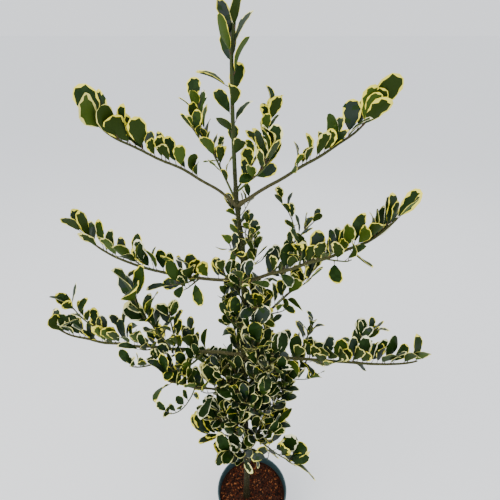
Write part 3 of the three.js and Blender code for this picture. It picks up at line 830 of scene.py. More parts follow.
def pot_material():
    """Polypropylene pot, injection moulded and coloured right through: a low even sheen, faint flow
    marks, and patches of dried water and peat that dull it."""
    material, tree = new_material("moulded_polypropylene")
    # The patches are 26 mm across, the moulded grain 1.1 mm, and the flow marks 7 mm and upright.
    place = object_place(tree)
    bloom = add_node(tree, "ShaderNodeTexNoise", {
        "Vector": place, "Scale": per_mm(26), "Detail": 8.0, "Roughness": 0.65})
    grain = add_node(tree, "ShaderNodeTexNoise", {
        "Vector": place, "Scale": per_mm(1.1), "Detail": 2.0, "Roughness": 0.55})
    dusty = add_node(
        tree, "ShaderNodeValToRGB", {"Fac": bloom}, stops=((0.42, "#000000"), (0.78, "#4C4C4C")))
    coloured = add_node(
        tree, "ShaderNodeMix", {"Factor": dusty, 6: "#284246", 7: "#73857F"}, **COLOURS)
    runs = add_node(tree, "ShaderNodeTexNoise", {
        "Vector": object_place(tree, (1.0, 1.0, 0.1)), "Scale": per_mm(7), "Detail": 3.0,
        "Roughness": 0.55})
    marks = add_node(
        tree, "ShaderNodeValToRGB", {"Fac": runs}, stops=((0.3, "#AEB6B4"), (0.7, "#FFFFFF")))
    marked = add_node(
        tree, "ShaderNodeMix", {"Factor": 0.35, 6: coloured, 7: marks}, blend_type="MULTIPLY",
        **COLOURS)
    rough = add_node(
        tree, "ShaderNodeMapRange", {"Value": bloom, "To Min": 0.34, "To Max": 0.62})
    raised = add_node(
        tree, "ShaderNodeBump", {"Height": grain, "Strength": 0.25, "Distance": 0.15 * MM})
    surface(tree, {"Base Color": marked, "Roughness": rough, "IOR": 1.49, "Normal": raised})
    return material


def mulch_material():
    """Composted bark: moist, dark red brown crumbs with paler fibres."""
    material, tree = new_material("composted_bark")
    # Crumbs of 7 mm, and fibres 2.2 mm thick and four times as long.
    crumbs = add_node(tree, "ShaderNodeTexNoise", {
        "Vector": object_place(tree), "Scale": per_mm(7), "Detail": 8.0, "Roughness": 0.7})
    fibres = add_node(tree, "ShaderNodeTexNoise", {
        "Vector": object_place(tree, (1.0, 0.25, 1.0)), "Scale": per_mm(2.2), "Detail": 4.0,
        "Roughness": 0.55})
    browns = add_node(
        tree, "ShaderNodeValToRGB", {"Fac": crumbs},
        stops=((0.30, "#120905"), (0.52, "#2B160D"), (0.72, "#4C2A1A")))
    fibrous = add_node(
        tree, "ShaderNodeMix", {"Factor": fibres, 6: browns, 7: "#3A2014"}, **COLOURS)
    raised = add_node(
        tree, "ShaderNodeBump", {"Height": crumbs, "Strength": 0.9, "Distance": 2.5 * MM})
    surface(tree, {
        "Base Color": fibrous, "Roughness": 0.9, "Specular IOR Level": 0.15, "Normal": raised})
    return material


# Chips of bark, from wet and nearly black to dry and pale: matt, each one plain brown.
CHIP_COLOURS = ("#120602", "#290F05", "#421A0A", "#5C2911", "#8A532F")
CHIP_FINISHES = {
    f"bark_chip_{i + 1}": (colour, 0.85, 0.15, 0.0) for i, colour in enumerate(CHIP_COLOURS)}

# ---- meshes


def linked(name, data):
    """A new object in the scene."""
    made = bpy.data.objects.new(name, data)
    bpy.context.collection.objects.link(made)
    return made


class Joined:
    """Many small meshes gathered into one piece."""

    def __init__(self):
        self.points, self.faces, self.slots, self.count = [], [], [], 0

    def add(self, points, faces, slots):
        """Adds a mesh, with the material slot of each of its faces."""
        self.points.append(points)
        self.faces += [tuple(self.count + v for v in face) for face in faces]
        self.slots += slots
        self.count += len(points)

    def piece(self, name, materials, soft=True, rim=None):
        """The gathered mesh as a piece. Edges between vertices of the rim are sharp."""
        mesh = bpy.data.meshes.new(name)
        mesh.from_pydata(np.concatenate(self.points) * MM, [], self.faces)
        for material in materials:
            mesh.materials.append(material)
        mesh.polygons.foreach_set("material_index", self.slots)
        mesh.polygons.foreach_set("use_smooth", np.full(len(self.faces), soft))
        if rim is not None:
            ends = np.empty(2 * len(mesh.edges), int)
            mesh.edges.foreach_get("vertices", ends)
            sharp = mesh.attributes.new("sharp_edge", "BOOLEAN", "EDGE")
            sharp.data.foreach_set("value", rim[ends.reshape(-1, 2)].all(1))
        mesh.update()
        return linked(name, mesh)


def settle(piece, slot, *nodes):
    """Rides a piece on the plant's one body, and hides the imported nodes that it stands for."""
    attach(piece, "root")
    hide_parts(*nodes)


def only(piece):
    """Makes a piece the one that is selected and active."""
    bpy.ops.object.select_all(action="DESELECT")
    piece.select_set(True)
    bpy.context.view_layer.objects.active = piece


def close_outwards():
    """Leaves edit mode with all faces of the closed mesh in it pointing outwards."""
    bpy.ops.mesh.select_all(action="SELECT")
    bpy.ops.mesh.normals_make_consistent(inside=False)
    bpy.ops.object.mode_set(mode="OBJECT")


# Bud at a twig's tip: how far past it each ring stands, and the ring's radius.
BUD = ((1.2, 1.5), (3.4, 1.2), (5, 0.25))


def tube(line, sides, bud=False):
    """A closed tube along a line, as vertices and faces."""
    points, radii = line.points, line.radii
    if bud:
        tip, along = points[-1], unit(points[-1] - points[-2])
        points = np.vstack([points, *(tip + along * past for past, _ in BUD)])
        radii = np.concatenate([radii, [radius for _, radius in BUD]])
    along = np.empty_like(points)
    along[1:-1] = points[2:] - points[:-2]
    along[0] = points[1] - points[0]
    along[-1] = points[-1] - points[-2]
    across = around(unit(along[0]))[0]
    turns = np.linspace(0, 2 * math.pi, sides, endpoint=False)
    rings = []
    for point, way, radius in zip(points, along, radii):
        way = unit(way)
        across = unit(across - way * (across @ way))
        circle = np.outer(np.cos(turns), across) + np.outer(np.sin(turns), cross(way, across))
        rings.append(point + radius * circle)
    last = (len(points) - 1) * sides
    faces = []
    for base in range(0, last, sides):
        for i in range(sides):
            j = (i + 1) % sides
            faces.append((base + i, base + j, base + sides + j, base + sides + i))
    faces += [tuple(range(sides - 1, -1, -1)), tuple(range(last, last + sides))]
    return np.concatenate(rings), faces


# ---- leaf

# The rows of points along a leaf, how far its teeth stand out at each, the points in a row (edge,
# margin's inner line and midrib on the upper side, inner line and midrib on the lower side), and
# the powers that its outline widens and narrows by.
LEAF_ROWS = np.array([0.11, 0.26, 0.41, 0.56, 0.70, 0.83, 0.94])
LEAF_TEETH = np.array([0.0, 0.0, 0.03, -0.04, 0.045, -0.045, 0.03])
PER_ROW = 8
SHARE_POWERS = (0.95, 0.58)

# Blade, as shares of its length: its thickness, how far the points on its midrib stand back from
# those on its edge, as veins slant, and those on the margin's line as a share of that, and how the
# last ones stand at the apex. The midrib is a groove above and a ridge below, by shares of a depth
# in millimetres that falls from foot to tip, and the blade thins towards its tip.
LEAF_THICK = 0.012
VEIN_SLANT = 0.07
LINE_SLANT = 0.35
APEX_BACK = 0.04
LINE_BACK = 0.01
LINE_AHEAD = 0.03
RIB_DEPTH = (0.75, 0.25)
RIB_ABOVE = 0.3
RIB_BELOW = 0.7
BLADE_THINS = (1.1, 0.6)

# How a blade waves along each edge, and from where along it the twist turns.
WAVE_TURN = 9
WAVE_OFFSET = 2.2
TWIST_FROM = 0.3

# Stalk: its share of the leaf, how far it runs into the blade, its sag and its radii.
PETIOLE_SHARE = 0.17
PETIOLE_LAP = 1.5
PETIOLE_SAG = 0.4
PETIOLE_RADII = (1.6, 0.85, 0.65)

# How leaves differ. Margins are shares of the half blade: of middle width on most leaves, broad on
# the share BROAD of them and thin on those past THIN. They are fuller on one side, change from row
# to row, are narrow and broad in turns from tooth to tooth, and reach further in at the apex, which
# is pale throughout where they are wider than PALE_APEX.
MARGIN = (0.08, 0.19)
BROAD_MARGIN = (0.3, 0.42)
THIN_MARGIN = 0.05
BROAD = 0.06
THIN = 0.86
SIDE_MARGINS = (0.55, 1.25)
ROW_MARGINS = (0.45, 0.75, 0.9, 1, 1.1, 1.2, 1.2)
TOOTH_MARGINS = (0.35, 1.25)
TOOTH_PLAY = 0.6
MARGIN_LIMITS = (0.03, 0.92)
APEX = 0.03
APEX_SHARE = 0.25
APEX_LEAST = 0.4
PALE_APEX = 0.1

# The blade's habits, each with its lowest and highest value and the power of its draw: the slope of
# its fold, how it rolls at the edges, curls along its length and bends back at its tip, its twist
# from foot to tip in degrees, and how high its edges wave.
HABITS = {
    "fold": (0.05, 0.55, 1), "roll": (-0.05, 0.28, 1), "curl": (-0.5, 1.6, 1),
    "recurve": (-0.05, 0.22, 2), "twist": (-22, 22, 1), "waves": (0.0, 0.035, 1),
}

# How often a leaf has each colour, and how often green breaks into its margin or its own green
# changes from row to row.
FEATHER = (0.05, 0.35)
DEEP_SHARE = 0.6
GREEN_SHARE = 0.12
CREAM_SHARE = 0.6
UNDER_GREEN_SHARE = 0.35
GREEN_EDGE_SHARE = 0.07


def leaf_faces():
    """The faces of a leaf: rows of the upper side first, then of the lower side."""
    rows = [[2 + PER_ROW * r + c for c in range(PER_ROW)] for r in range(len(LEAF_ROWS))]
    top = [[row[c] for c in (0, 1, 2, 3, 4)] for row in rows]
    under = [[row[c] for c in (0, 5, 6, 7, 4)] for row in rows]
    faces = []
    for columns, turned in ((top, False), (under, True)):
        width = len(columns[0])
        stations = [[0] * width, *columns, [1] * width]
        for low, high in zip(stations, stations[1:]):
            for c in range(width - 1):
                corners = [low[c], low[c + 1], high[c + 1], high[c]]
                face = [v for i, v in enumerate(corners) if v != corners[i - 1]]
                faces.append(tuple(reversed(face)) if turned else tuple(face))
    return faces


def leaf_profile(t):
    """Half the blade's width at a share of its length, as a share of its widest half."""
    low, high = SHARE_POWERS
    widest = low / (low + high)
    return (t / widest) ** low * ((1 - t) / (1 - widest)) ** high


class LeafStyle:
    """What sets one leaf apart from the next: its margin, its folds and its colours."""

    def __init__(self, draw, yellow, wider):
        def between(low, high):
            return mix(low, high, draw())

        kind = draw()
        self.margin = wider * between(*MARGIN)
        if kind < BROAD:
            self.margin = between(*BROAD_MARGIN)
        if kind > THIN:
            self.margin = THIN_MARGIN
        start = int(2 * draw())
        fuller = [between(*SIDE_MARGINS) for _ in range(2)]
        self.margins = np.clip([
            [fuller[side] * self.margin * share * (
                TOOTH_MARGINS[(start + side + r) % 2] + TOOTH_PLAY * draw())
             for r, share in enumerate(ROW_MARGINS)] for side in range(2)], *MARGIN_LIMITS)
        self.apex = APEX + APEX_SHARE * self.margin * (APEX_LEAST + draw())
        self.habits = {
            name: mix(low, high, draw() ** power) for name, (low, high, power) in HABITS.items()}
        self.phase = 2 * math.pi * draw()
        self.main = "leaf_deep" if draw() < DEEP_SHARE else "leaf_dark"
        if draw() < GREEN_SHARE:
            self.main = "leaf_green"
        self.edge, self.under_edge = "edge_yellow", "edge_yellow"
        if draw() >= yellow:
            self.edge = "edge_cream" if draw() < CREAM_SHARE else "edge_pale"
            self.under_edge = "under_edge"
        self.under = "under_green" if draw() < UNDER_GREEN_SHARE else "under_olive"
        self.feather = between(*FEATHER)
        self.draw = draw


def leaf_vertices(leaf, style):
    """The vertices of one leaf in millimetres."""
    petiole = PETIOLE_SHARE * leaf.length
    blade = leaf.length - petiole
    profile = leaf_profile(LEAF_ROWS)
    half = profile * leaf.width / 2
    edge = half * (1 + LEAF_TEETH)
    left, right = half * (1 - style.margins)
    slant = VEIN_SLANT * profile
    rib = LEAF_ROWS - slant
    rib[-1] = 1 - style.apex - APEX_BACK
    line = LEAF_ROWS - slant * LINE_SLANT
    line[-1] = min(LEAF_ROWS[-1] - LINE_BACK, rib[-1] + LINE_AHEAD)
    depth = np.linspace(*RIB_DEPTH, len(LEAF_ROWS))
    over = LEAF_THICK * leaf.length * np.linspace(*BLADE_THINS, len(LEAF_ROWS)) / 2
    none = 0 * half
    # Each column's share along the blade, distance across it, and height over its middle face.
    shares = np.stack([LEAF_ROWS, line, rib, line, LEAF_ROWS, line, rib, line], 1)
    across = np.stack([-edge, -left, none, right, edge, -left, none, right], 1)
    groove, ridge = over - depth * RIB_ABOVE, -over - depth * RIB_BELOW
    lift = np.stack([none, over, groove, over, none, -over, ridge, -over], 1)
    widest = leaf.width / 2
    x = across / widest
    habits = style.habits
    lift = lift + widest * (habits["fold"] * abs(x) - habits["roll"] * x * x)
    across = across / math.hypot(1, habits["fold"])
    lift = lift + habits["waves"] * leaf.length * abs(x) * np.sin(
        WAVE_TURN * shares + style.phase + np.where(across < 0, 0, WAVE_OFFSET))
    turn = math.radians(habits["twist"]) * (shares - TWIST_FROM)
    side = across * np.cos(turn) - lift * np.sin(turn)
    high = across * np.sin(turn) + lift * np.cos(turn) + arch(shares, habits) * leaf.length
    along = petiole + blade * shares
    grid = (
        leaf.foot + along[..., None] * leaf.axis + side[..., None] * leaf.side
        + high[..., None] * leaf.face)
    ends = [
        leaf.foot + leaf.axis * petiole,
        leaf.foot + leaf.axis * leaf.length + leaf.face * (arch(1.0, habits) * leaf.length)]
    return np.concatenate([ends, grid.reshape(-1, 3)])


def arch(share, habits):
    """How high a blade stands over a straight line from its foot, as a share of its length."""
    curl = habits["curl"] * LEAF_CURL
    return curl * np.sin(math.pi * share) - habits["recurve"] * share ** 3


def leaf_colours(style):
    """The slot of each face of a leaf, in the order of leaf_faces."""
    draw, last = style.draw, len(LEAF_ROWS)

    def green_at_times(chance, colour):
        return "leaf_feather" if draw() < chance else colour

    top, under = [], []
    for r in range(last + 1):
        pale = r == last and style.margin > PALE_APEX
        inner = [green_at_times(style.feather, style.main) for _ in range(2)]
        left, right = [green_at_times(GREEN_EDGE_SHARE, style.edge) for _ in range(2)]
        top += [left, *([style.edge] * 2 if pale else inner), right]
        body = style.under_edge if pale else style.under
        under += [style.under_edge, body, body, style.under_edge]
    return [LEAF_SLOTS[name] for name in top + under]


def petiole_line(leaf):
    """The stalk of a leaf, from inside its stem to its blade."""
    end = leaf.foot + leaf.axis * (PETIOLE_SHARE * leaf.length + PETIOLE_LAP)
    middle = mix(leaf.foot, end, 0.5) - UP * PETIOLE_SAG
    return Line([leaf.foot, middle, end], PETIOLE_RADII)


# ---- pieces

# The masses are joined by the part of the plant that they stand in, with the share of yellow
# margins there and how wide they are: young growth at the top and foot is the yellowest.
REGIONS = {
    "top": (("upper_", "leader"), 0.75, 1.4),
    "left": (("middle_left", "lower_left", "under_left"), 0.4, 1.1),
    "right": (("middle_right", "inner_right", "lower_right", "under_right"), 0.35, 1.1),
    "column": (("column_",), 0.04, 0.75),
    "foot": (("low_left", "low_right"), 0.85, 1.5),
    "sprays": (("spray_",), 0.3, 0.95),
}
LIMB_NAMES = [row[0] for row in LIMBS]


def masses_of(region):
    """The masses that stand in one part of the plant."""
    starts = REGIONS[region][0]
    return [mass for mass in grown() if mass.name.startswith(starts)]


def leaves_piece(region, materials):
    """The leaves of one part of the plant, joined. Each is sharp round its rim."""
    shape, joined, masses = leaf_faces(), Joined(), masses_of(region)
    draw = seeded(STYLE_SEED + list(REGIONS).index(region))
    for mass in masses:
        for leaf in mass.leaves:
            style = LeafStyle(draw, *REGIONS[region][1:])
            joined.add(leaf_vertices(leaf, style), shape, leaf_colours(style))
    rim = np.array([True, True] + [c in (0, 4) for _ in LEAF_ROWS for c in range(PER_ROW)])
    piece = joined.piece(
        f"leaves_{region}", materials, rim=np.tile(rim, joined.count // len(rim)))
    settle(piece, "foliage", *(f"foliage_{mass.name}" for mass in masses))


def twigs_piece(region, materials):
    """The stems, side shoots and leaf stalks of one part of the plant, joined."""
    joined, masses = Joined(), masses_of(region)

    def add(lines, sides, finish, bud=False):
        for line in lines:
            points, faces = tube(line, sides, bud)
            joined.add(points, faces, [TWIG_SLOTS[finish]] * len(faces))

    for mass in masses:
        own = mass.stems[1:] if mass.name in LIMB_NAMES else mass.stems
        finish = "leader_green" if mass.name == "leader" else "twig_green"
        add([stem.line for stem in own], TWIG_SIDES, finish, True)
        add(mass.shoots, TWIG_SIDES, "twig_green", True)
        add(map(petiole_line, mass.leaves), PETIOLE_SIDES, "petiole")
    piece = joined.piece(f"twigs_{region}", materials)
    settle(piece, "bark", *(f"foliage_{mass.name}" for mass in masses))


def limb_curve(name, line, sides):
    """A limb as a round path with a radius at each point, made a mesh with closed ends."""
    curve = bpy.data.curves.new(name, "CURVE")
    curve.dimensions = "3D"
    curve.bevel_depth = MM
    curve.bevel_resolution = sides // 2 - 2
    curve.use_fill_caps = True
    path = curve.splines.new("POLY")
    count = len(line.points)
    path.points.add(count - 1)
    path.points.foreach_set("co", np.column_stack([line.points * MM, np.ones(count)]).ravel())
    path.points.foreach_set("radius", line.radii)
    only(linked(name, curve))
    bpy.ops.object.convert(target="MESH")
    return bpy.context.view_layer.objects.active


def relief(piece, feature, height, depth=3, middle=0.5, **settings):
    """Raises and sinks a mesh's surface by soft noise with features of a size in millimetres."""
    texture = bpy.data.textures.new(f"{piece.name}_{feature}", "CLOUDS")
    texture.noise_scale = feature * MM
    texture.noise_depth = depth
    modifier = piece.modifiers.new("relief", "DISPLACE")
    settings.update(
        texture=texture, texture_coords="LOCAL", strength=height * MM, mid_level=middle)
    for name, value in settings.items():
        setattr(modifier, name, value)
    only(piece)
    bpy.ops.object.modifier_apply(modifier=modifier.name)


def smooth(piece, angle=50):
    """Shades a mesh smooth but for edges that turn by more than an angle in degrees."""
    only(piece)
    bpy.ops.object.shade_smooth_by_angle(angle=math.radians(angle))


def dress(piece, material):
    """Gives a mesh one material in place of any that it has."""
    piece.data.materials.clear()
    piece.data.materials.append(material)


def lathed(name, profile, sides):
    """A round closed form: a disc drawn on, ring after ring, through the radii and heights of its
    profile, from the middle of its underside to the middle of its inside."""
    radius, height = profile[0]
    bpy.ops.object.select_all(action="DESELECT")
    bpy.ops.mesh.primitive_circle_add(
        vertices=sides, radius=radius, fill_type="NGON", location=(0, 0, height))
    piece = bpy.context.object
    piece.name = piece.data.name = name
    bpy.ops.object.transform_apply(location=True, rotation=True, scale=True)
    bpy.ops.object.mode_set(mode="EDIT")
    bpy.ops.mesh.select_all(action="SELECT")
    for next_radius, next_height in profile[1:]:
        bpy.ops.mesh.extrude_region_move(
            TRANSFORM_OT_translate={"value": (0, 0, next_height - height)})
        share = next_radius / radius
        bpy.ops.transform.resize(value=(share, share, 1), center_override=(0, 0, next_height))
        radius, height = next_radius, next_height
    close_outwards()
    return piece


# Pot: the round of its foot and the roll of its rim with the turns that each is drawn at, its rings
# and its drain holes. A ring's shape is so many millimetres up and outwards from its middle.
POT_SEGMENTS = 128
POT_SMOOTH = 32
POT_FOOT_RADIUS = 95 * MM
POT_SKIRT_RADIUS = 121 * MM
POT_SKIRT_HEIGHT = 182 * MM
POT_WALL = 2.4 * MM
POT_FLOOR = 5.5 * MM
POT_FILLET = 3 * MM
POT_ROLL = (3 * MM, 3.6 * MM)
FILLET_TURNS = (math.pi / 6, math.pi / 3, math.pi / 2)
ROLL_TURNS = np.linspace(-0.5, math.pi * 0.96, 10)
POT_RINGS = (60, 121)
RING_SHAPE = ((-2.2, 0), (-1, 0.7), (1, 0.7), (2.2, 0))
DRAIN_HOLES = 8
DRAIN_SIDES = 24
DRAIN_RADIUS = 7 * MM
DRAIN_PLACE = 76 * MM


def pot_wall(height):
    """The radius of the pot's outside at a height below its rim."""
    share = (height - POT_FILLET) / (POT_SKIRT_HEIGHT - POT_FILLET)
    return mix(POT_FOOT_RADIUS, POT_SKIRT_RADIUS, share)


def places(radius, height, *offsets):
    """Places on a profile, so many millimetres outwards and up from one radius and height."""
    return [(radius + out * MM, height + up * MM) for out, up in offsets]


def pot_profile():
    """The pot's outside from its foot up, its rolled rim, and its inside down to the floor."""
    foot, skirt, shoulder = POT_FOOT_RADIUS, POT_SKIRT_RADIUS, POT_SKIRT_HEIGHT
    rim, lip = POT_RIM_RADIUS, POT_HEIGHT
    across, up = POT_ROLL
    profile = places(foot, 0, (-8, 2), (-6.5, 0), (-3, 0))
    profile += [
        (foot - POT_FILLET * (1 - math.sin(turn)), POT_FILLET * (1 - math.cos(turn)))
        for turn in FILLET_TURNS]
    for middle in POT_RINGS:
        for step, proud in RING_SHAPE:
            height = (middle + step) * MM
            profile.append((pot_wall(height) + proud * MM, height))
    profile += places(skirt, shoulder, (-0.4, -2), (0, 0))
    profile += places(rim, shoulder, (-3.4, 0.6), (-2.5, 2))
    profile += places(rim, lip, (-1.5, -8))
    profile += [
        (rim - across + across * math.cos(turn), lip - up + up * math.sin(turn))
        for turn in ROLL_TURNS]
    profile += places(rim, lip, (-6.6, -8))
    profile += places(skirt - POT_WALL, shoulder, (1.5, 3), (1, -2))
    return [*profile, (foot - POT_WALL, POT_FLOOR)]


# Compost: its play in the pot, the height of its top in the middle and at the wall, where the lumpy
# surface starts over that, the rings on it, its lumps as size and height in millimetres, and the
# tone of their noise that stays at the surface's own height.
COMPOST_PLAY = 0.5 * MM
SOIL_MIDDLE = SOIL * MM - 1.5 * MM
SOIL_EDGE = SOIL * MM - 5 * MM
LUMPY_FROM = SOIL_EDGE + 0.1 * MM
COMPOST_SEGMENTS = 110
COMPOST_LUMPS = ((22, 5), (5, 3.2))
COMPOST_RING = 3.2 * MM
COMPOST_SUNK = 0.62


def compost_profile():
    """The compost's underside, its side along the pot's wall, and its crowned top."""
    wall = SOIL_RADIUS - COMPOST_PLAY
    profile = [
        (POT_FOOT_RADIUS - POT_WALL - 2 * MM, COMPOST_BOX[0].z), (wall, POT_SKIRT_HEIGHT),
        (wall, SOIL_EDGE)]
    profile += [
        (radius, mix(SOIL_MIDDLE, SOIL_EDGE, (radius / SOIL_RADIUS) ** 4))
        for radius in np.arange(SOIL_RADIUS - 4 * MM, 3 * MM, -COMPOST_RING)]
    return profile


# Chips of bark, in millimetres: how far off the wall they stay, length, width as a share of it,
# thickness, how low they lie in the middle and at the wall, how high they pile up, their slope in
# degrees and roll in radians, and their ragged corners.
CHIP_ROOM = 5
CHIP_LENGTH = (2.5, 10)
CHIP_SMALLER = 2.4
CHIP_WIDTH = (0.25, 0.6)
CHIP_THICK = (0.7, 1.8)
CHIP_LOW = (SOIL - 2.5, SOIL - 5.5)
CHIP_PILE = 2.4
CHIP_SLOPE = 34
CHIP_ROLL = 0.7
CHIP_CORNER = 0.65
CHIP_CORNER_PLAY = 0.45
CHIP_FACES = (
    (0, 2, 3, 1), (4, 5, 7, 6), (0, 1, 5, 4), (2, 6, 7, 3), (0, 4, 6, 2), (1, 3, 7, 5))


def chips_piece(count):
    """Strews chips of bark over the compost. Most of them are fine, and some lie tilted."""
    draw, joined = seeded(CHIP_SEED), Joined()
    radius = SOIL_RADIUS / MM - CHIP_ROOM
    for _ in range(count):
        reach = radius * math.sqrt(draw())
        turn = 2 * math.pi * draw()
        long = mix(*CHIP_LENGTH, draw() ** CHIP_SMALLER)
        half = np.array([long, long * mix(*CHIP_WIDTH, draw()), mix(*CHIP_THICK, draw())]) / 2
        low = mix(*CHIP_LOW, (reach / radius) ** 4)
        middle = np.array([
            reach * math.cos(turn), reach * math.sin(turn), low + CHIP_PILE * draw()])
        along = pointing(360 * draw(), CHIP_SLOPE * (draw() - 0.5) * 2 * draw())
        first, second = around(along)
        roll = CHIP_ROLL * (draw() - 0.5)
        first, second = (
            first * math.cos(roll) + second * math.sin(roll),
            second * math.cos(roll) - first * math.sin(roll))
        corners = []
        for k in range(8):
            signs = [1 if k & bit else -1 for bit in (1, 2, 4)]
            play = [CHIP_CORNER + CHIP_CORNER_PLAY * draw() for _ in range(3)]
            offset = np.array(signs) * half * play
            corners.append(middle + along * offset[0] + second * offset[1] + first * offset[2])
        joined.add(corners, CHIP_FACES, [int(len(CHIP_COLOURS) * draw() ** 2)] * len(CHIP_FACES))
    chips = joined.piece("bark_chips", plain_materials(CHIP_FINISHES), soft=False)
    only(chips)
    bpy.ops.object.mode_set(mode="EDIT")
    close_outwards()
    settle(chips, "compost", "compost")


# Wood: how far and how high the trunk swells at each knot, and how much at most where knots crowd.
# How far out a bough's collar reaches. The relief of bark as size and height in millimetres.
KNOT_REACH = 9
KNOT_HEIGHT = 0.7
KNOT_MOST = 1.4
COLLAR_REACH = 17
TRUNK_RELIEF = ((16, 1.2), (4, 0.5))
BOUGH_RELIEF = (8, 0.8)
BARK_SMOOTH = 75


class HollyPot(bpy.types.PropertyGroup):
    """The pot and what fills it."""

    segments: bpy.props.IntProperty(
        name="Segments", description="Facets round the pot", default=POT_SEGMENTS, min=24, max=256)
    drain_radius: bpy.props.FloatProperty(
        name="Drain hole", description="Radius of a drain hole", default=DRAIN_RADIUS,
        unit="LENGTH", subtype="DISTANCE")
    chips: bpy.props.IntProperty(
        name="Chips", description="Chips of bark on the compost", default=3200, min=0, max=6000)


class HollyPlant(bpy.types.PropertyGroup):
    """The bark of the trunk and boughs."""

    relief: bpy.props.FloatProperty(
        name="Relief", description="How far the trunk's bark stands proud, in millimetres",
        default=1.0, min=0, max=4)
    collar: bpy.props.FloatProperty(
        name="Collar", description="How much thicker a bough is where it leaves the trunk",
        default=0.75, min=0, max=2)


class HollyStage(bpy.types.PropertyGroup):
    """The floor, the light and the camera."""

    floor: bpy.props.FloatVectorProperty(
        name="Floor", description="Colour of the floor", subtype="COLOR", size=4,
        default=linear("#F8F9FA"), min=0, max=1)
    floor_size: bpy.props.FloatProperty(
        name="Floor size", description="Length of the floor's side", default=600.0,
        unit="LENGTH", subtype="DISTANCE")


class HOLLY_OT_pot(bpy.types.Operator):
    """Turns the nursery pot and cuts its drain holes"""

    bl_idname = "holly.pot"
    bl_label = "Pot"

    def execute(self, context):
        settings = context.scene.holly_pot
        pot = lathed("nursery_pot", pot_profile(), settings.segments)
        cutters = []
        for i in range(DRAIN_HOLES):
            turn = 2 * math.pi * i / DRAIN_HOLES
            bpy.ops.object.select_all(action="DESELECT")
            bpy.ops.mesh.primitive_cylinder_add(
                vertices=DRAIN_SIDES, radius=settings.drain_radius, depth=8 * POT_FLOOR,
                location=(DRAIN_PLACE * math.cos(turn), DRAIN_PLACE * math.sin(turn), 0))
            cutters.append(context.object)
        for cutter in cutters:
            cutter.select_set(True)
        bpy.ops.object.join()
        cutter = context.object
        holes = pot.modifiers.new("holes", "BOOLEAN")
        holes.operation = "DIFFERENCE"
        holes.solver = "EXACT"
        holes.object = cutter
        only(pot)
        bpy.ops.object.modifier_apply(modifier=holes.name)
        bpy.data.objects.remove(cutter)
        smooth(pot, POT_SMOOTH)
        dress(pot, pot_material())
        settle(pot, "pot", "pot")
        return {"FINISHED"}


class HOLLY_OT_compost(bpy.types.Operator):
    """Fills the pot with compost and strews it with chips of bark"""

    bl_idname = "holly.compost"
    bl_label = "Compost"

    def execute(self, context):
        compost = lathed("compost_body", compost_profile(), COMPOST_SEGMENTS)
        top = [v.index for v in compost.data.vertices if v.co.z > LUMPY_FROM]
        compost.vertex_groups.new(name="top").add(top, 1.0, "ADD")
        for feature, height in COMPOST_LUMPS:
            relief(
                compost, feature, height, depth=2, middle=COMPOST_SUNK, direction="Z",
                vertex_group="top")
        smooth(compost)
        dress(compost, mulch_material())
        settle(compost, "compost", "compost")
        chips_piece(context.scene.holly_pot.chips)
        return {"FINISHED"}


class HOLLY_OT_trunk(bpy.types.Operator):
    """Models the trunk with its flare, knots and bark"""

    bl_idname = "holly.trunk"
    bl_label = "Trunk"

    def execute(self, context):
        line = trunk_line(evenly(-TRUNK_BURIED, TRUNK_TOP, TRUNK_PITCH))
        knots = [row[1] for row in (*LIMBS, *SHOOTS, *COLUMN_ROWS, *SPRAY_ROWS)]
        heights = line.points[:, 2] - SOIL
        swell = sum(np.exp(-((heights - knot) / KNOT_REACH) ** 2) for knot in knots)
        radii = line.radii + KNOT_HEIGHT * np.minimum(swell, KNOT_MOST)
        trunk = limb_curve("trunk_bark", Line(line.points, radii), TRUNK_SIDES)
        for feature, height in TRUNK_RELIEF:
            relief(trunk, feature, height * context.scene.holly_plant.relief)
        smooth(trunk, BARK_SMOOTH)
        # The old colour, dark towards the trunk's foot, is partly old bark and partly painted
        # shade.
        dress(trunk, bark_material("trunk_bark", "#3A4716", "#2A240D", by_height))
        settle(trunk, "bark", "trunk")
        return {"FINISHED"}


class HOLLY_OT_boughs(bpy.types.Operator):
    """Models the nine long limbs from their collars to their tips"""

    bl_idname = "holly.boughs"
    bl_label = "Boughs"

    def execute(self, context):
        settings = context.scene.holly_plant
        # The old colour near the trunk is partly old bark and partly painted light against the
        # shade there.
        bark = bark_material("bough_bark", "#414C1C", "#555233", by_distance)
        feature, height = BOUGH_RELIEF
        for mass in grown()[:len(LIMBS)]:
            line = mass.stems[0].line
            radii = line.radii * (1 + settings.collar * np.exp(-(line.arc / COLLAR_REACH) ** 2))
            limb = limb_curve(f"bough_{mass.name}_bark", Line(line.points, radii), LIMB_SIDES)
            relief(limb, feature, height * settings.relief)
            smooth(limb, BARK_SMOOTH)
            dress(limb, bark)
            settle(limb, "bark", f"bough_{mass.name}")
        return {"FINISHED"}


class HOLLY_OT_twigs(bpy.types.Operator):
    """Grows the twigs and leaf stalks of every mass of foliage"""

    bl_idname = "holly.twigs"
    bl_label = "Twigs"

    def execute(self, context):
        materials = plain_materials(TWIG_FINISHES)
        for region in REGIONS:
            twigs_piece(region, materials)
        return {"FINISHED"}


class HOLLY_OT_leaves(bpy.types.Operator):
    """Grows the leaves of every mass of foliage"""

    bl_idname = "holly.leaves"
    bl_label = "Leaves"

    def execute(self, context):
        materials = plain_materials(LEAF_FINISHES)
        for region in REGIONS:
            leaves_piece(region, materials)
        return {"FINISHED"}


# Camera: its place in metres, how far it looks down, and the lens on a 36 mm sensor.
CAMERA_PLACE = (-0.0077, -0.765, 1.6736)
CAMERA_DOWN = 30
CAMERA_LENS = 27.04
CAMERA_SENSOR = 36
CAMERA_CLIP = (0.02, 1000)

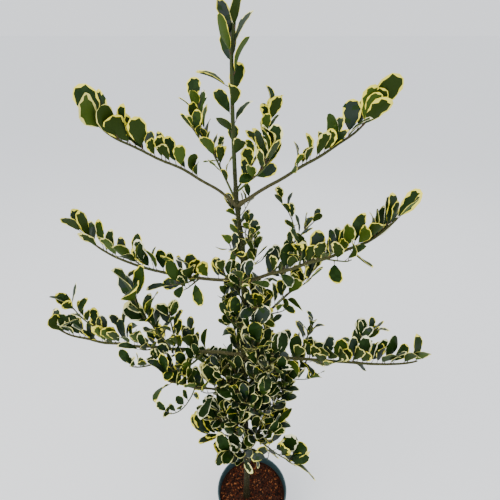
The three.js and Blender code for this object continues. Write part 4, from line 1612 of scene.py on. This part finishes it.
# Soft boxes: name, place and side in metres, power in watts and colour. They look at the crown.
LAMPS = (
    ("key", (-2.2, -1.9, 3.6), 2.6, 90, "#FFF9F0"),
    ("fill", (2.8, -2.2, 2.4), 2.4, 20, "#F1F5FF"),
    ("back", (0.6, 2.8, 3.2), 2.4, 30, "#FFFFFF"),
)
CROWN_MIDDLE = (0, 0, 0.95)
SKY = ("#F0F3F8", 1.45)


class HOLLY_OT_stage(bpy.types.Operator):
    """Lays the floor, sets the lights and places the camera"""

    bl_idname = "holly.stage"
    bl_label = "Stage"

    def execute(self, context):
        settings = context.scene.holly_stage
        bpy.ops.object.select_all(action="DESELECT")
        bpy.ops.mesh.primitive_plane_add(size=settings.floor_size)
        floor = context.object
        floor.name = "floor"
        material, tree = new_material("floor")
        surface(tree, {"Base Color": tuple(settings.floor), "Roughness": 0.9})
        dress(floor, material)
        for row in LAMPS:
            self.lamp(*row)
        self.sky(context.scene)
        bpy.ops.object.camera_add(
            location=CAMERA_PLACE, rotation=(math.radians(90 - CAMERA_DOWN), 0, 0))
        camera = context.object
        camera.data.sensor_width = CAMERA_SENSOR
        camera.data.lens = CAMERA_LENS
        camera.data.clip_start, camera.data.clip_end = CAMERA_CLIP
        context.scene.camera = camera
        return {"FINISHED"}

    def lamp(self, name, place, size, power, colour):
        """A square soft box that looks at the middle of the crown."""
        light = bpy.data.lights.new(name, "AREA")
        light.size = size
        light.energy = power
        light.color = linear(colour)[:3]
        towards = np.array(CROWN_MIDDLE) - np.array(place)
        lamp = linked(name, light)
        lamp.location = place
        lamp.rotation_euler = (
            math.acos(-towards[2] / np.linalg.norm(towards)), 0,
            math.atan2(towards[1], towards[0]) - math.pi / 2)

    def sky(self, scene):
        """An even pale sky all round."""
        colour, strength = SKY
        scene.world = bpy.data.worlds.new("studio")
        scene.world.use_nodes = True
        tree = scene.world.node_tree
        tree.nodes.clear()
        light = add_node(tree, "ShaderNodeBackground", {"Color": colour, "Strength": strength})
        add_node(tree, "ShaderNodeOutputWorld", {"Surface": light})


OPERATORS = (
    HOLLY_OT_pot, HOLLY_OT_compost, HOLLY_OT_trunk, HOLLY_OT_boughs, HOLLY_OT_twigs,
    HOLLY_OT_leaves, HOLLY_OT_stage,
)
SETTINGS = {"holly_pot": HollyPot, "holly_plant": HollyPlant, "holly_stage": HollyStage}


class HOLLY_PT_panel(bpy.types.Panel):
    """Lists the plant's settings and its pieces"""

    bl_label = "Potted holly"
    bl_idname = "HOLLY_PT_panel"
    bl_space_type = "VIEW_3D"
    bl_region_type = "UI"
    bl_category = "Holly"

    def draw(self, context):
        for name, group in SETTINGS.items():
            box = self.layout.box()
            for setting in group.__annotations__:
                box.prop(getattr(context.scene, name), setting)
        for operator in OPERATORS:
            self.layout.operator(operator.bl_idname)


CLASSES = (*SETTINGS.values(), *OPERATORS, HOLLY_PT_panel)


def register():
    for made in CLASSES:
        bpy.utils.register_class(made)
    for name, group in SETTINGS.items():
        setattr(bpy.types.Scene, name, bpy.props.PointerProperty(type=group))


def unregister():
    for name in SETTINGS:
        delattr(bpy.types.Scene, name)
    for made in reversed(CLASSES):
        bpy.utils.unregister_class(made)


def main():
    register()
    bpy.ops.holly.pot()
    bpy.ops.holly.compost()
    bpy.ops.holly.trunk()
    bpy.ops.holly.boughs()
    bpy.ops.holly.twigs()
    bpy.ops.holly.leaves()
    bpy.ops.holly.stage()


if __name__ == "__main__":
    main()
